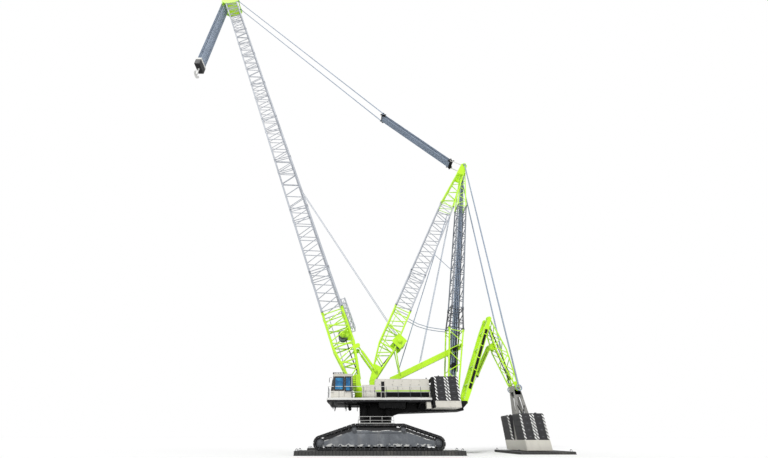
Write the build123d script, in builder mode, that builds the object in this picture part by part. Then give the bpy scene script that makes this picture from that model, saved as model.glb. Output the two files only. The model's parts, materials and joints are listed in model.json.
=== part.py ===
from build123d import *
import os
from math import atan2, cos, hypot, pi, radians, sin

# A 1:10 scale model of a crawler crane of the 1000 tonne class with a derrick mast, a rear mast
# and hanging derrick ballast on a folding V-frame.  Millimetres.  The crane faces -X, its left
# side with the cab is -Y, and the origin is the slewing centre on the ground.

os.makedirs("parts", exist_ok=True)

# ---------------------------------------------------------------- driving dimensions
# ground mats
MAT_LENGTH, MAT_WIDTH, MAT_THICK = 1540, 310, 35
BALLAST_MAT_LENGTH, BALLAST_MAT_WIDTH, BALLAST_MAT_THICK = 540, 700, 22

# crawler tracks
TRACK_Y = 475  # centre of a track from the middle of the machine
SHOE_WIDTH = 180
IDLER_X, IDLER_RISE, IDLER_RADIUS = 550, 60, 60  # end wheels: place, height over the mat, belt radius
CROWN_X, CROWN_RISE, CROWN_RADIUS = 232, 166, 50  # upper guide wheels under the flat top run
SHOE_COUNT = 60
SHOE_THICK, LINK_THICK, SHOE_GAP = 9, 12, 5
FRAME_CLEAR = 12  # between the inside of the belt and the side frame
FRAME_WIDTH = 120

# slewing ring and platform
RING_RADIUS, RING_BASE_TOP, RING_GAP, RING_TOP = 170, 300, 0.5, 330
RING_SEAT = MAT_THICK + 216
DECK_FRONT, DECK_REAR = -512, 564
DECK_TOP, DECK_THICK = 478, 30
DECK_HALF_WIDTH = 392
BOOM_HALF_DEPTH, BOOM_HALF_WIDTH = 128, 150
GIRDER_HALF_WIDTH = BOOM_HALF_WIDTH  # the boom foot stands on the girder's edges
GIRDER_REAR = 1000

# cab
CAB_FRONT, CAB_REAR, CAB_SLANT = -478, -256, 26
CAB_OUTER, CAB_INNER = 385, 230  # distances of its two sides from the middle, on the left
CAB_HEIGHT, CAB_WALL = 226, 5
WINDOW_SILL = 66
DOOR_BASE, DOOR_HEIGHT = 14, 196
DOOR_FRONT, DOOR_REAR, DOOR_GAP, DOOR_THICK = -446, -336, 2, 5

# houses on the deck
HOUSE_OUTER, HOUSE_INNER = 350, BOOM_HALF_WIDTH + 40
HOUSE_FRONT, HOUSE_REAR, HOUSE_HEIGHT = -13, 558, 187
CABINET_FRONT, CABINET_HEIGHT = -150, 130
LOUVRE_INSET, LOUVRE_BAND, RECESS = 10, (16, 66), 5
DOORWAY_FRONT, DOORWAY_WIDTH = 50, 36

# counterweight on the platform
WEIGHT_FRONT, WEIGHT_DEPTH, WEIGHT_GAP = 600, 122, 6
WEIGHT_OUTER, WEIGHT_INNER = 420, 235
WEIGHT_BASE, WEIGHT_SLABS, WEIGHT_SLAB = 454, 4, 57.5
TRAY_THICK = 60
GROOVE = 3

# boom
FOOT_X, FOOT_Z = -180, 560
BOOM_ANGLE = 70.3
BOOM_BASE, BOOM_SHORT, BOOM_INSERT, BOOM_INSERTS = 993, 580, 1075, 7
BOOM_KNEE = 540  # where the base reaches its full depth
BOOM_TIP, BOOM_HEAD = 292, 235
BOOM_LENGTH = BOOM_BASE + BOOM_SHORT + BOOM_INSERTS * BOOM_INSERT + BOOM_TIP + BOOM_HEAD
BOOM_CHORD, BOOM_LACING, BOOM_FRAME = 12, 6, 9  # tube radii; the last is that of the base's frames
SLEEVE, SLEEVE_LENGTH = 4, 22  # how far the joint sleeves stand out from the chords, and their length
FOOT_PLATE, FOOT_EYE, PIN = 26, 40, 12
PIN_GAP = 0.3

# boom back-stops
STOP_FOOT, STOP_EYE, STOP_Y = (8, 791), (-191, 1060), 127
STOP_EYE_RADIUS, STOP_EYE_HALF = 18, 9
STOP_TUBE, STOP_ROD, STOP_TRAVEL = 15, 8, 52  # radii, and how far the rods go in from rest

# derrick mast, its foot, and the rear mast
DERRICK_FOOT = (-25, 700)
MAST_HEAD = (1575, 3960)
DERRICK_HALF_DEPTH, DERRICK_HALF_WIDTH = 98, 100
DERRICK_BASE, DERRICK_SHORT, DERRICK_LONG = 923, 540, 1257
REAR_FOOT = (855, 500)
REAR_BASE, REAR_DARK, REAR_LONG = 790, 270, 1630
REAR_HALF_WIDTH, REAR_HEAD_HALF_WIDTH = 100, 60
MAST_CHORD, MAST_LACING = 9, 5

# mast brace, from its pedestal to a level of the rear mast, and the two props over its foot
BRACE_START, BRACE_LEVEL, BRACE_SIZE = (190, 700), 605, (50, 62)
PROP_LEVEL, PROP_FOOT, PROP = 440, (296, 758), 7

# boom stay
LOWER_BLOCK, UPPER_BLOCK = (295, 5251), (1384, 4081)
STAY_HALF_WIDTH, ROPE, FALL = 62, 9, 2.2  # blocks, pendant radius, radius of a reeved rope
PENDANT_DRIFT, BACKSTAY_DRIFT = 10, 12  # clearance at the open pins

# V-frame, ballast and backstay
V_HINGE, V_APEX, V_TIP = (986, 468), (1444, 1394), (1602, 612)
CYLINDER_FOOT, CYLINDER_EYE = (1032, 520), (1395, 1062)
CYLINDER_RADIUS, CYLINDER_ROD, CYLINDER_BARREL, ROD_EYE_HALF = 25, 14, 372, 18
V_ARM_Y, V_ARM_DEPTH = 105, 26
TIP_ARM_Y, BACKSTAY_Y = 84, 122
BALLAST_X, BALLAST_LENGTH, BALLAST_HALF_WIDTH = 1602, 252, 260
BALLAST_GAP, BALLAST_CLEAR = 140, 6  # between the left and right stacks, and over the mat
BALLAST_TRAY, BALLAST_SLABS, BALLAST_SLAB = 90, 4, 58.5

# load hook
HOOK_BLOCK_TOP = 7040
SHEAVE_RADIUS, HEAD_LANES, HEAD_LANE_PITCH = 45, 9, 26
SHEAVE_GROOVE = 8  # depth of the groove that a rope lies in


# ---------------------------------------------------------------- helpers
ON_TOP = (Align.CENTER, Align.CENTER, Align.MIN)  # a box that stands on its place


def inclined(start, end):
    """A plane at start, its z along the member towards end, its y along +Y."""
    run, rise = end[0] - start[0], end[1] - start[1]
    length = hypot(run, rise)
    return Plane((start[0], 0, start[1]), x_dir=(rise / length, 0, -run / length), z_dir=(run, 0, rise))


def span(start, end):
    return hypot(end[0] - start[0], end[1] - start[1])


def write(name, piece):
    piece.label = name
    export_step(piece, f"parts/{name}.step")


def bars(rows):
    """Round bars from start to end, fused to the part in one step; rows are (start, end, radius)."""
    made = []
    for start, end, radius in rows:
        place = Plane(start, z_dir=Vector(end) - Vector(start))
        made.append(Solid.make_cylinder(radius, (Vector(end) - Vector(start)).length, place))
    add(made)


def corner(stations, level, side_x, side_y):
    """A chord's centre at a level; stations are (level, half depth, half width)."""
    for (z0, depth0, width0), (z1, depth1, width1) in zip(stations, stations[1:]):
        if level <= z1:
            share = (level - z0) / (z1 - z0)
            break
    depth = depth0 + share * (depth1 - depth0)
    width = width0 + share * (width1 - width0)
    return Vector(side_x * depth, side_y * width, level)


FACES = {  # each face's two chords, as (side_x, side_y)
    "left": ((-1, -1), (1, -1)),
    "right": ((-1, 1), (1, 1)),
    "front": ((-1, -1), (-1, 1)),
    "rear": ((1, -1), (1, 1)),
}


def chord_rows(stations, radius):
    rows = []
    for side_x in (-1, 1):
        for side_y in (-1, 1):
            for (z0, *_), (z1, *_) in zip(stations, stations[1:]):
                start, end = (corner(stations, level, side_x, side_y) for level in (z0, z1))
                rows.append((start, end, radius))
    return rows


def sleeve_rows(stations, radius, ends):
    """Short thicker lengths where the chords are pinned to the next section."""
    rows = []
    for first, second in ends:
        for side_x in (-1, 1):
            for side_y in (-1, 1):
                start = corner(stations, stations[first][0], side_x, side_y)
                along = (corner(stations, stations[second][0], side_x, side_y) - start).normalized()
                rows.append((start, start + along * SLEEVE_LENGTH, radius + SLEEVE))
    return rows


BOTH_ENDS, TOP_END, BOTTOM_END = ((0, 1), (-1, -2)), ((-1, -2),), ((0, 1),)


def trimmed(start, end, inside, radius):
    """A bar between two chord centres that stops a little inside each chord."""
    along = (end - start).normalized() * inside
    return (start + along, end - along, radius)


def zigzag_rows(stations, face, low, high, bays, radius, inside, spread):
    """Warren lacing on one face; neighbouring bars meet the chord side by side."""
    pair, step, rows = FACES[face], (high - low) / bays, []
    for bay in range(bays):
        start = corner(stations, low + bay * step + spread, *pair[bay % 2])
        end = corner(stations, low + (bay + 1) * step - spread, *pair[(bay + 1) % 2])
        rows.append(trimmed(start, end, inside, radius))
    return rows


def ring_rows(stations, level, radius, inside, faces=FACES):
    """A frame of four cross bars; those across the width lie just above those across the depth."""
    rows = []
    for face in faces:
        lift = 2.4 * radius if face in ("front", "rear") else 0
        start, end = (corner(stations, level + lift, *side) for side in FACES[face])
        rows.append(trimmed(start, end, inside, radius))
    return rows


def lattice_rows(stations, bays, chord, lacing, faces=FACES, rings=FACES, end_gap=36, sleeves=BOTH_ENDS):
    """Four chords with their joint sleeves, lacing on the named faces and a frame near each end."""
    low, high = stations[0][0], stations[-1][0]
    inside, spread = chord * 0.5, lacing * 1.5
    rows = chord_rows(stations, chord) + sleeve_rows(stations, chord, sleeves)
    half_bay = (high - low - 2 * end_gap) / bays / 2
    for face in faces:
        if face in ("left", "right"):
            rows += zigzag_rows(stations, face, low + end_gap, high - end_gap, bays, lacing, inside, spread)
        else:
            start, end = low + end_gap + half_bay, high - end_gap - half_bay
            rows += zigzag_rows(stations, face, start, end, bays - 1, lacing, inside, spread)
    rows += ring_rows(stations, low + 12, lacing, inside, rings)
    rows += ring_rows(stations, high - 12 - 2.4 * lacing, lacing, inside, rings)
    return rows


def stack(x0, x1, y0, y1, base, slabs, slab):
    """A stack of cast weights: one block with a groove at each seam and bevelled top edges."""
    with BuildPart() as block:
        with Locations(((x0 + x1) / 2, (y0 + y1) / 2, base)):
            Box(x1 - x0, y1 - y0, slabs * slab, align=ON_TOP)
        chamfer(block.faces().sort_by(Axis.Z)[-1].edges().filter_by(Axis.Y), 10)
        for seam in range(1, slabs):
            with BuildSketch(Plane.XY.offset(base + seam * slab - GROOVE / 2)):
                with Locations(((x0 + x1) / 2, (y0 + y1) / 2)):
                    Rectangle(x1 - x0 + 2, y1 - y0 + 2)
                    Rectangle(x1 - x0 - 2 * GROOVE, y1 - y0 - 2 * GROOVE, mode=Mode.SUBTRACT)
            extrude(amount=GROOVE, mode=Mode.SUBTRACT)
    return block.part


# ---------------------------------------------------------------- places of the main members
BOOM_RISE = radians(BOOM_ANGLE)
BOOM_TOP = (FOOT_X - BOOM_LENGTH * cos(BOOM_RISE), FOOT_Z + BOOM_LENGTH * sin(BOOM_RISE))
BOOM_LINE = inclined((FOOT_X, FOOT_Z), BOOM_TOP)
DERRICK_LINE, DERRICK_LENGTH = inclined(DERRICK_FOOT, MAST_HEAD), span(DERRICK_FOOT, MAST_HEAD)
REAR_LINE, REAR_LENGTH = inclined(REAR_FOOT, MAST_HEAD), span(REAR_FOOT, MAST_HEAD)


# ---------------------------------------------------------------- ground mats
with BuildPart() as ground_mats:
    with Locations((0, -TRACK_Y, 0), (0, TRACK_Y, 0)):
        Box(MAT_LENGTH, MAT_WIDTH, MAT_THICK, align=ON_TOP)
    with Locations((BALLAST_X + 30, 0, 0)):
        Box(BALLAST_MAT_LENGTH, BALLAST_MAT_WIDTH, BALLAST_MAT_THICK, align=ON_TOP)
write("ground_mats", ground_mats.part)


# ---------------------------------------------------------------- crawler tracks
BELT = [  # wheels that the belt runs round, anticlockwise seen from the left: (x, z, radius)
    (IDLER_X, MAT_THICK + IDLER_RISE, IDLER_RADIUS),
    (CROWN_X, MAT_THICK + CROWN_RISE, CROWN_RADIUS),
    (-CROWN_X, MAT_THICK + CROWN_RISE, CROWN_RADIUS),
    (-IDLER_X, MAT_THICK + IDLER_RISE, IDLER_RADIUS),
]


def belt_runs(inward):
    """The belt's line set inward by a distance, as straight runs and arcs in order."""
    runs = []
    for (x0, z0, r0), (x1, z1, r1) in zip(BELT, BELT[1:] + BELT[:1]):
        heading = atan2(z1 - z0, x1 - x0)
        lean = (r0 - r1) / hypot(x1 - x0, z1 - z0)
        normal = heading - pi / 2 + lean
        reach0, reach1 = r0 - inward, r1 - inward
        start = (x0 + reach0 * cos(normal), z0 + reach0 * sin(normal))
        end = (x1 + reach1 * cos(normal), z1 + reach1 * sin(normal))
        runs.append((start, end, normal))
    return runs


def belt_sketch(inward):
    runs = belt_runs(inward)
    with BuildSketch(Plane.XZ) as sketch:
        with BuildLine():
            for number, (start, end, normal) in enumerate(runs):
                following = runs[(number + 1) % len(runs)]
                x, z, radius = BELT[(number + 1) % len(BELT)]
                middle = normal + ((following[2] - normal) % (2 * pi)) / 2
                Line(start, end)
                reach = radius - inward
                ThreePointArc(end, (x + reach * cos(middle), z + reach * sin(middle)), following[0])
        make_face()
    return sketch.sketch


def belt_point(distance):
    """The place and outward direction at a distance along the belt's outer line."""
    runs = belt_runs(0)
    for number, (start, end, normal) in enumerate(runs):
        length = hypot(end[0] - start[0], end[1] - start[1])
        if distance <= length:
            share = distance / length
            return (start[0] + share * (end[0] - start[0]), start[1] + share * (end[1] - start[1])), normal
        distance -= length
        x, z, radius = BELT[(number + 1) % len(BELT)]
        turn = (runs[(number + 1) % len(runs)][2] - normal) % (2 * pi)
        if distance <= turn * radius:
            angle = normal + distance / radius
            return (x + radius * cos(angle), z + radius * sin(angle)), angle
        distance -= turn * radius
    return runs[0][0], runs[0][2]


def belt_length():
    runs, total = belt_runs(0), 0
    for number, (start, end, normal) in enumerate(runs):
        turn = (runs[(number + 1) % len(runs)][2] - normal) % (2 * pi)
        total += hypot(end[0] - start[0], end[1] - start[1]) + turn * BELT[(number + 1) % len(BELT)][2]
    return total


def side_part(sketch, centre, width):
    return extrude(sketch, amount=width / 2, both=True, mode=Mode.PRIVATE).moved(Location((0, centre, 0)))


with BuildPart() as track:
    add(extrude(belt_sketch(0), amount=SHOE_WIDTH / 2, both=True))
    add(extrude(belt_sketch(SHOE_THICK + LINK_THICK), amount=SHOE_WIDTH, both=True), mode=Mode.SUBTRACT)
    notches = []
    for shoe in range(SHOE_COUNT):
        (x, z), outward = belt_point(belt_length() * (shoe + 0.5) / SHOE_COUNT)
        notch = Plane((x, 0, z), x_dir=(0, 1, 0), z_dir=(cos(outward), 0, sin(outward)))
        notches.append(notch)
    with Locations(*notches):
        Box(SHOE_WIDTH + 2, SHOE_GAP, 2 * SHOE_THICK, mode=Mode.SUBTRACT)
write("track_left", track.part.moved(Location((0, -TRACK_Y, 0))))
write("track_right", track.part.moved(Location((0, TRACK_Y, 0))))

FRAME_INSET = SHOE_THICK + LINK_THICK + FRAME_CLEAR
FRAME_PLATE = 10
BELT_INSIDE = SHOE_THICK + LINK_THICK
ROLLER_RADIUS, ROLLER_COUNT, ROLLER_PITCH = 16, 13, 72
FRAME_CORE = ((-450, MAT_THICK + 62), (450, MAT_THICK + 62), (300, MAT_THICK + 112), (-300, MAT_THICK + 112))
PLATE_MIDDLE = (FRAME_WIDTH - FRAME_PLATE) / 2
with BuildPart() as track_frames:
    for side in (-1, 1):
        for cheek in (-PLATE_MIDDLE, PLATE_MIDDLE):
            add(side_part(belt_sketch(FRAME_INSET), side * TRACK_Y + cheek, FRAME_PLATE))
        with BuildSketch(Plane.XZ.offset(-side * TRACK_Y)):
            with BuildLine():
                Polyline(*FRAME_CORE, close=True)
            make_face()
        extrude(amount=PLATE_MIDDLE, both=True)
write("track_frames", track_frames.part)

# rollers, end wheels and upper guide wheels that turn between the plates of the side frames
with BuildPart() as track_wheels:
    for side in (-1, 1):
        with BuildSketch(Plane.XZ.offset(-side * TRACK_Y)):
            for x, z, radius in BELT:
                with Locations((x, z)):
                    Circle(radius - BELT_INSIDE - PIN_GAP)
            with Locations((0, MAT_THICK + BELT_INSIDE + PIN_GAP + ROLLER_RADIUS)):
                with GridLocations(ROLLER_PITCH, 1, ROLLER_COUNT, 1):
                    Circle(ROLLER_RADIUS)
        extrude(amount=PLATE_MIDDLE - FRAME_PLATE / 2 - PIN_GAP, both=True)
write("track_wheels", track_wheels.part)


# ---------------------------------------------------------------- carbody and slewing ring
FRAME_INNER_FACE = TRACK_Y - FRAME_WIDTH / 2
with BuildPart() as carbody:
    with BuildSketch(Plane.XY.offset(MAT_THICK + 45)):
        Rectangle(420, 420)
        with Locations((-265, 0), (265, 0)):
            Rectangle(120, 2 * FRAME_INNER_FACE)
    extrude(amount=100)
    with BuildSketch(Plane.XY.offset(MAT_THICK + 145)):
        Rectangle(380, 700)
    extrude(amount=RING_SEAT - MAT_THICK - 145)
    with BuildSketch(Plane.XY.offset(RING_SEAT)):
        Circle(RING_RADIUS)
    extrude(amount=RING_BASE_TOP - RING_SEAT)
write("carbody", carbody.part)

with BuildPart() as slewing_ring:
    with BuildSketch(Plane.XY.offset(RING_BASE_TOP + RING_GAP)):
        Circle(RING_RADIUS + 6)
    extrude(amount=RING_TOP - RING_BASE_TOP - RING_GAP)
write("slewing_ring", slewing_ring.part)

# ---------------------------------------------------------------- platform
HOIST_WINCH = (410, 560)  # axle of the main hoist winch over the deck
WINCH_PLATE, WINCH_BORE = 8, 12
GIRDER_END = GIRDER_REAR - 60
with BuildPart() as slewing_platform:
    with BuildSketch(Plane.XZ):
        with BuildLine():
            Polyline((-175, RING_TOP), (-175, 432), (-330, 440), (DECK_FRONT, 452), (DECK_FRONT, DECK_TOP))
            Polyline((DECK_FRONT, DECK_TOP), (GIRDER_END, DECK_TOP), (GIRDER_END, 385), (300, 366))
            ThreePointArc((300, 366), (232, 356), (180, RING_TOP))
            Line((180, RING_TOP), (-175, RING_TOP))
        make_face()
    extrude(amount=GIRDER_HALF_WIDTH, both=True)
    # clevises of the boom foot, with their pins
    for side in (-1, 1):
        for cheek in (-1, 1):
            offset = side * BOOM_HALF_WIDTH + cheek * (FOOT_PLATE / 2 + PIN_GAP + 6)
            with BuildSketch(Plane.XZ.offset(-offset)):
                with BuildLine():
                    Polyline(
                        (FOOT_X - 62, DECK_TOP),
                        (FOOT_X - FOOT_EYE, FOOT_Z),
                        (FOOT_X + FOOT_EYE, FOOT_Z),
                        (FOOT_X + 62, DECK_TOP),
                        close=True,
                    )
                make_face()
                with Locations((FOOT_X, FOOT_Z)):
                    Circle(FOOT_EYE)
            extrude(amount=6, both=True)
        with BuildSketch(Plane.XZ.offset(-side * BOOM_HALF_WIDTH)):
            with Locations((FOOT_X, FOOT_Z)):
                Circle(PIN)
        extrude(amount=FOOT_PLATE / 2 + 16, both=True)
    # seat of the rear mast
    with BuildSketch(Plane.XZ):
        with BuildLine():
            front, rear = (REAR_LINE.from_local_coords(Vector(depth, 0, 0)) for depth in (-62, 62))
            Polyline((front.X - 8, DECK_TOP - 10), (front.X, front.Z))
            Polyline((front.X, front.Z), (rear.X, rear.Z), (rear.X + 8, DECK_TOP - 10))
            Line((rear.X + 8, DECK_TOP - 10), (front.X - 8, DECK_TOP - 10))
        make_face()
    extrude(amount=REAR_HALF_WIDTH + 20, both=True)
    # clevises of the V-frame and of its cylinder, with their pins
    for clevis, eye, pin_ends, spots in (
        (V_HINGE, 13 + PIN_GAP + 4, (0, 24), (-V_ARM_Y, V_ARM_Y)),
        (CYLINDER_FOOT, ROD_EYE_HALF + PIN_GAP + 10, (ROD_EYE_HALF + 2 * PIN_GAP, ROD_EYE_HALF + 18), (0,)),
    ):
        x, z = clevis
        for spot in spots:
            for cheek in (-1, 1):
                with BuildSketch(Plane.XZ.offset(-spot - cheek * eye)):
                    with BuildLine():
                        Polyline(
                            (GIRDER_END - 10, 395),
                            (GIRDER_END - 10, 475),
                            (x, z + 20),
                            (x + 20, z),
                            (x, z - 24),
                            close=True,
                        )
                    make_face()
                extrude(amount=4, both=True)
            for cheek in (-1, 1):
                with BuildSketch(Plane.XZ.offset(-spot - cheek * (pin_ends[0] + pin_ends[1]) / 2)):
                    with Locations(clevis):
                        Circle(PIN)
                extrude(amount=(pin_ends[1] - pin_ends[0]) / 2, both=True)
    # bearings of the main hoist winch
    x, z = HOIST_WINCH
    for side in (-1, 1):
        with BuildSketch(Plane.XZ.offset(-side * (GIRDER_HALF_WIDTH - WINCH_PLATE / 2))):
            with BuildLine():
                Polyline((x - 55, DECK_TOP - 10), (x - 24, z + 20), (x + 24, z + 20))
                Line((x + 24, z + 20), (x + 55, DECK_TOP - 10))
                Line((x + 55, DECK_TOP - 10), (x - 55, DECK_TOP - 10))
            make_face()
            with Locations((x, z)):
                Circle(WINCH_BORE + PIN_GAP, mode=Mode.SUBTRACT)
        extrude(amount=WINCH_PLATE / 2, both=True)
write("slewing_platform", slewing_platform.part)


def winch_drum(half_width, drum_radius, flange_radius):
    """A grooveless drum along Y at the origin, with two flanges and a shaft into its bearings."""
    with BuildPart() as drum:
        with BuildSketch(Plane.XZ):
            Circle(drum_radius)
        extrude(amount=half_width, both=True)
        for side in (-1, 1):
            with BuildSketch(Plane.XZ.offset(side * (half_width - 4))):
                Circle(flange_radius)
            extrude(amount=4, both=True)
        with BuildSketch(Plane.XZ):
            Circle(WINCH_BORE)
        extrude(amount=half_width + PIN_GAP + WINCH_PLATE, both=True)
    return drum.part


hoist_drum = winch_drum(GIRDER_HALF_WIDTH - WINCH_PLATE - PIN_GAP, 46, 64)
write("hoist_winch_drum", hoist_drum.moved(Location((HOIST_WINCH[0], 0, HOIST_WINCH[1]))))

with BuildPart() as side_decks:
    with BuildSketch(Plane.XY.offset(DECK_TOP - DECK_THICK)):
        for side in (-1, 1):
            with Locations(((DECK_FRONT + DECK_REAR) / 2, side * (GIRDER_HALF_WIDTH + DECK_HALF_WIDTH) / 2)):
                Rectangle(DECK_REAR - DECK_FRONT, DECK_HALF_WIDTH - GIRDER_HALF_WIDTH)
    extrude(amount=DECK_THICK)
write("side_decks", side_decks.part)

for name, side in (("engine_house", -1), ("tank_house", 1)):
    with BuildPart() as house:
        with Locations(((HOUSE_FRONT + HOUSE_REAR) / 2, side * (HOUSE_OUTER + HOUSE_INNER) / 2, DECK_TOP)):
            Box(
                HOUSE_REAR - HOUSE_FRONT,
                HOUSE_OUTER - HOUSE_INNER,
                HOUSE_HEIGHT,
                align=ON_TOP,
            )
        chamfer(house.faces().sort_by(Axis.Z)[-1].edges(), 6)
        # the recessed louvre band along the foot of the outer face, and the recessed service door
        for front, rear, low, high in (
            (HOUSE_FRONT + LOUVRE_INSET, DOORWAY_FRONT - 6, *LOUVRE_BAND),
            (DOORWAY_FRONT + DOORWAY_WIDTH + 6, HOUSE_REAR - LOUVRE_INSET, *LOUVRE_BAND),
            (DOORWAY_FRONT, DOORWAY_FRONT + DOORWAY_WIDTH, 8, HOUSE_HEIGHT - 22),
        ):
            with Locations(((front + rear) / 2, side * HOUSE_OUTER, DECK_TOP + low)):
                Box(
                    rear - front,
                    2 * RECESS,
                    high - low,
                    align=ON_TOP,
                    mode=Mode.SUBTRACT,
                )
    write(name, house.part)

with BuildPart() as control_cabinets:
    middle = ((CABINET_FRONT + HOUSE_FRONT) / 2, (HOUSE_OUTER + HOUSE_INNER) / 2)
    with Locations((middle[0], -middle[1], DECK_TOP), (middle[0], middle[1], DECK_TOP)):
        Box(
            HOUSE_FRONT - CABINET_FRONT,
            HOUSE_OUTER - HOUSE_INNER,
            CABINET_HEIGHT,
            align=ON_TOP,
        )
write("control_cabinets", control_cabinets.part)

# ---------------------------------------------------------------- cab
CAB_ROOF = DECK_TOP + CAB_HEIGHT


def cab_outline(inset):
    """The cab's side view, set in by a distance on all sides."""
    with BuildSketch(Plane.XZ) as sketch:
        with BuildLine():
            Polyline(
                (CAB_FRONT + inset, DECK_TOP + inset),
                (CAB_FRONT + inset, DECK_TOP + WINDOW_SILL),
                (CAB_FRONT + CAB_SLANT + inset, CAB_ROOF - inset),
                (CAB_REAR - inset, CAB_ROOF - inset),
                (CAB_REAR - inset, DECK_TOP + inset),
                close=True,
            )
        make_face()
    return sketch.sketch


CAB_MIDDLE = -(CAB_OUTER + CAB_INNER) / 2
CAB_WIDTH = CAB_OUTER - CAB_INNER
with BuildPart() as cab:
    add(side_part(cab_outline(0), CAB_MIDDLE, CAB_WIDTH))
    add(side_part(cab_outline(CAB_WALL), CAB_MIDDLE, CAB_WIDTH - 2 * CAB_WALL), mode=Mode.SUBTRACT)
    # the doorway, the window behind it and the windows of the other side
    for left, right, face, low, high in (
        (DOOR_FRONT + 6, DOOR_REAR - 6, -CAB_OUTER, DOOR_BASE + 6, DOOR_BASE + DOOR_HEIGHT - 6),
        (DOOR_REAR + 8, CAB_REAR - 12, -CAB_OUTER, WINDOW_SILL + 6, CAB_HEIGHT - 24),
        (DOOR_FRONT + 6, CAB_REAR - 20, -CAB_INNER, WINDOW_SILL + 20, CAB_HEIGHT - 24),
    ):
        with Locations(((left + right) / 2, face, DECK_TOP + (low + high) / 2)):
            Box(right - left, 3 * CAB_WALL, high - low, mode=Mode.SUBTRACT)
    # rails that carry the sliding door
    for base in (DOOR_BASE - PIN_GAP - 7, DOOR_BASE + DOOR_HEIGHT + PIN_GAP):
        with Locations(((DOOR_FRONT + CAB_REAR) / 2, -CAB_OUTER, DECK_TOP + base)):
            rail = (CAB_REAR - DOOR_FRONT, DOOR_GAP + DOOR_THICK + 1, 7)
            Box(*rail, align=(Align.CENTER, Align.MAX, Align.MIN))
    with Locations((CAB_FRONT, CAB_MIDDLE, DECK_TOP + WINDOW_SILL + 12)):
        Box(
            4 * CAB_SLANT,
            CAB_WIDTH - 30,
            CAB_HEIGHT - WINDOW_SILL - 34,
            align=ON_TOP,
            mode=Mode.SUBTRACT,
        )
write("cab", cab.part)

with BuildPart() as operator_seat:
    seat_x = DOOR_REAR
    with Locations((seat_x, CAB_MIDDLE, DECK_TOP + CAB_WALL)):
        Box(26, 26, 30, align=ON_TOP)
    with Locations((seat_x, CAB_MIDDLE, DECK_TOP + CAB_WALL + 30)):
        Box(52, 50, 14, align=ON_TOP)
    with Locations((seat_x + 24, CAB_MIDDLE, DECK_TOP + CAB_WALL + 30)):
        Box(14, 48, 82, align=ON_TOP)
write("operator_seat", operator_seat.part)

with BuildPart() as cab_door:
    middle = ((DOOR_FRONT + DOOR_REAR) / 2, -CAB_OUTER - DOOR_GAP - DOOR_THICK / 2)
    with Locations((*middle, DECK_TOP + DOOR_BASE)):
        Box(DOOR_REAR - DOOR_FRONT, DOOR_THICK, DOOR_HEIGHT, align=ON_TOP)
    with Locations((*middle, DECK_TOP + DOOR_BASE + 74)):
        Box(
            DOOR_REAR - DOOR_FRONT - 18,
            2 * DOOR_THICK,
            DOOR_HEIGHT - 86,
            align=ON_TOP,
            mode=Mode.SUBTRACT,
        )
write("cab_door", cab_door.part)

# ---------------------------------------------------------------- counterweight
WEIGHT_REAR = WEIGHT_FRONT + 2 * WEIGHT_DEPTH + WEIGHT_GAP
weight_stacks = []
for side in (-1, 1):
    low, high = sorted((side * WEIGHT_INNER, side * WEIGHT_OUTER))
    for row in range(2):
        start = WEIGHT_FRONT + row * (WEIGHT_DEPTH + WEIGHT_GAP)
        sides = (start, start + WEIGHT_DEPTH, low, high)
        weight_stacks.append(stack(*sides, WEIGHT_BASE, WEIGHT_SLABS, WEIGHT_SLAB))
with BuildPart() as counterweights:
    add(weight_stacks)
write("counterweights", counterweights.part)

with BuildPart() as counterweight_trays:
    for side in (-1, 1):
        middle = ((WEIGHT_FRONT + WEIGHT_REAR) / 2 - 6, side * (GIRDER_HALF_WIDTH + WEIGHT_OUTER) / 2)
        with Locations((*middle, WEIGHT_BASE)):
            Box(
                WEIGHT_REAR - WEIGHT_FRONT + 12,
                WEIGHT_OUTER - GIRDER_HALF_WIDTH,
                TRAY_THICK,
                align=(Align.CENTER, Align.CENTER, Align.MAX),
            )
write("counterweight_trays", counterweight_trays.part)

# ---------------------------------------------------------------- boom
def sheave(radius, half_width):
    """A rope sheave on the Y axis with a tapered groove."""
    with BuildPart() as wheel:
        with BuildSketch(Plane.XY):
            with BuildLine():
                Polyline(
                    (0, -half_width),
                    (radius, -half_width),
                    (radius - SHEAVE_GROOVE, -2),
                    (radius - SHEAVE_GROOVE, 2),
                    (radius, half_width),
                    (0, half_width),
                    close=True,
                )
            make_face()
        revolve(axis=Axis.Y)
    return wheel.part


def lanes(count, pitch):
    """Places across the width for a row of sheaves."""
    return [(lane - (count - 1) / 2) * pitch for lane in range(count)]


def straight_section(length, half_depth, half_width, bays, chord, lacing):
    """A parallel lattice section that stands on the XY plane."""
    stations = [(0, half_depth, half_width), (length, half_depth, half_width)]
    with BuildPart() as section:
        bars(lattice_rows(stations, bays, chord, lacing))
    return section.part


def boom_place(distance):
    return BOOM_LINE.offset(distance).location


WINCH_PLATE_Y = 78
BOOM_WINCH, DERRICK_WINCH = (30, 670), (118, 520)  # (behind the axis, up the member)


def winch_mount(axle, half_depth, half_width, chord):
    """Two cross tubes between the rear chords and the two bearing plates that they carry."""
    depth, level = axle
    reach = 26 if depth > half_depth else -26
    tubes = (level - 60, level + 60)
    ends = [[(half_depth, side * half_width, height) for side in (-1, 1)] for height in tubes]
    bars([(near, far, chord * 0.75) for near, far in ends])
    with BuildSketch(Plane.XZ) as plate:
        with BuildLine():
            Polyline(
                (half_depth - reach / 3, level - 68),
                (half_depth - reach / 3, level + 68),
                (depth + reach, level + 26),
                (depth + reach, level - 26),
                close=True,
            )
        make_face()
        with Locations((depth, level)):
            Circle(WINCH_BORE + PIN_GAP, mode=Mode.SUBTRACT)
    for side in (-1, 1):
        add(side_part(plate.sketch, side * WINCH_PLATE_Y, WINCH_PLATE))


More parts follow.
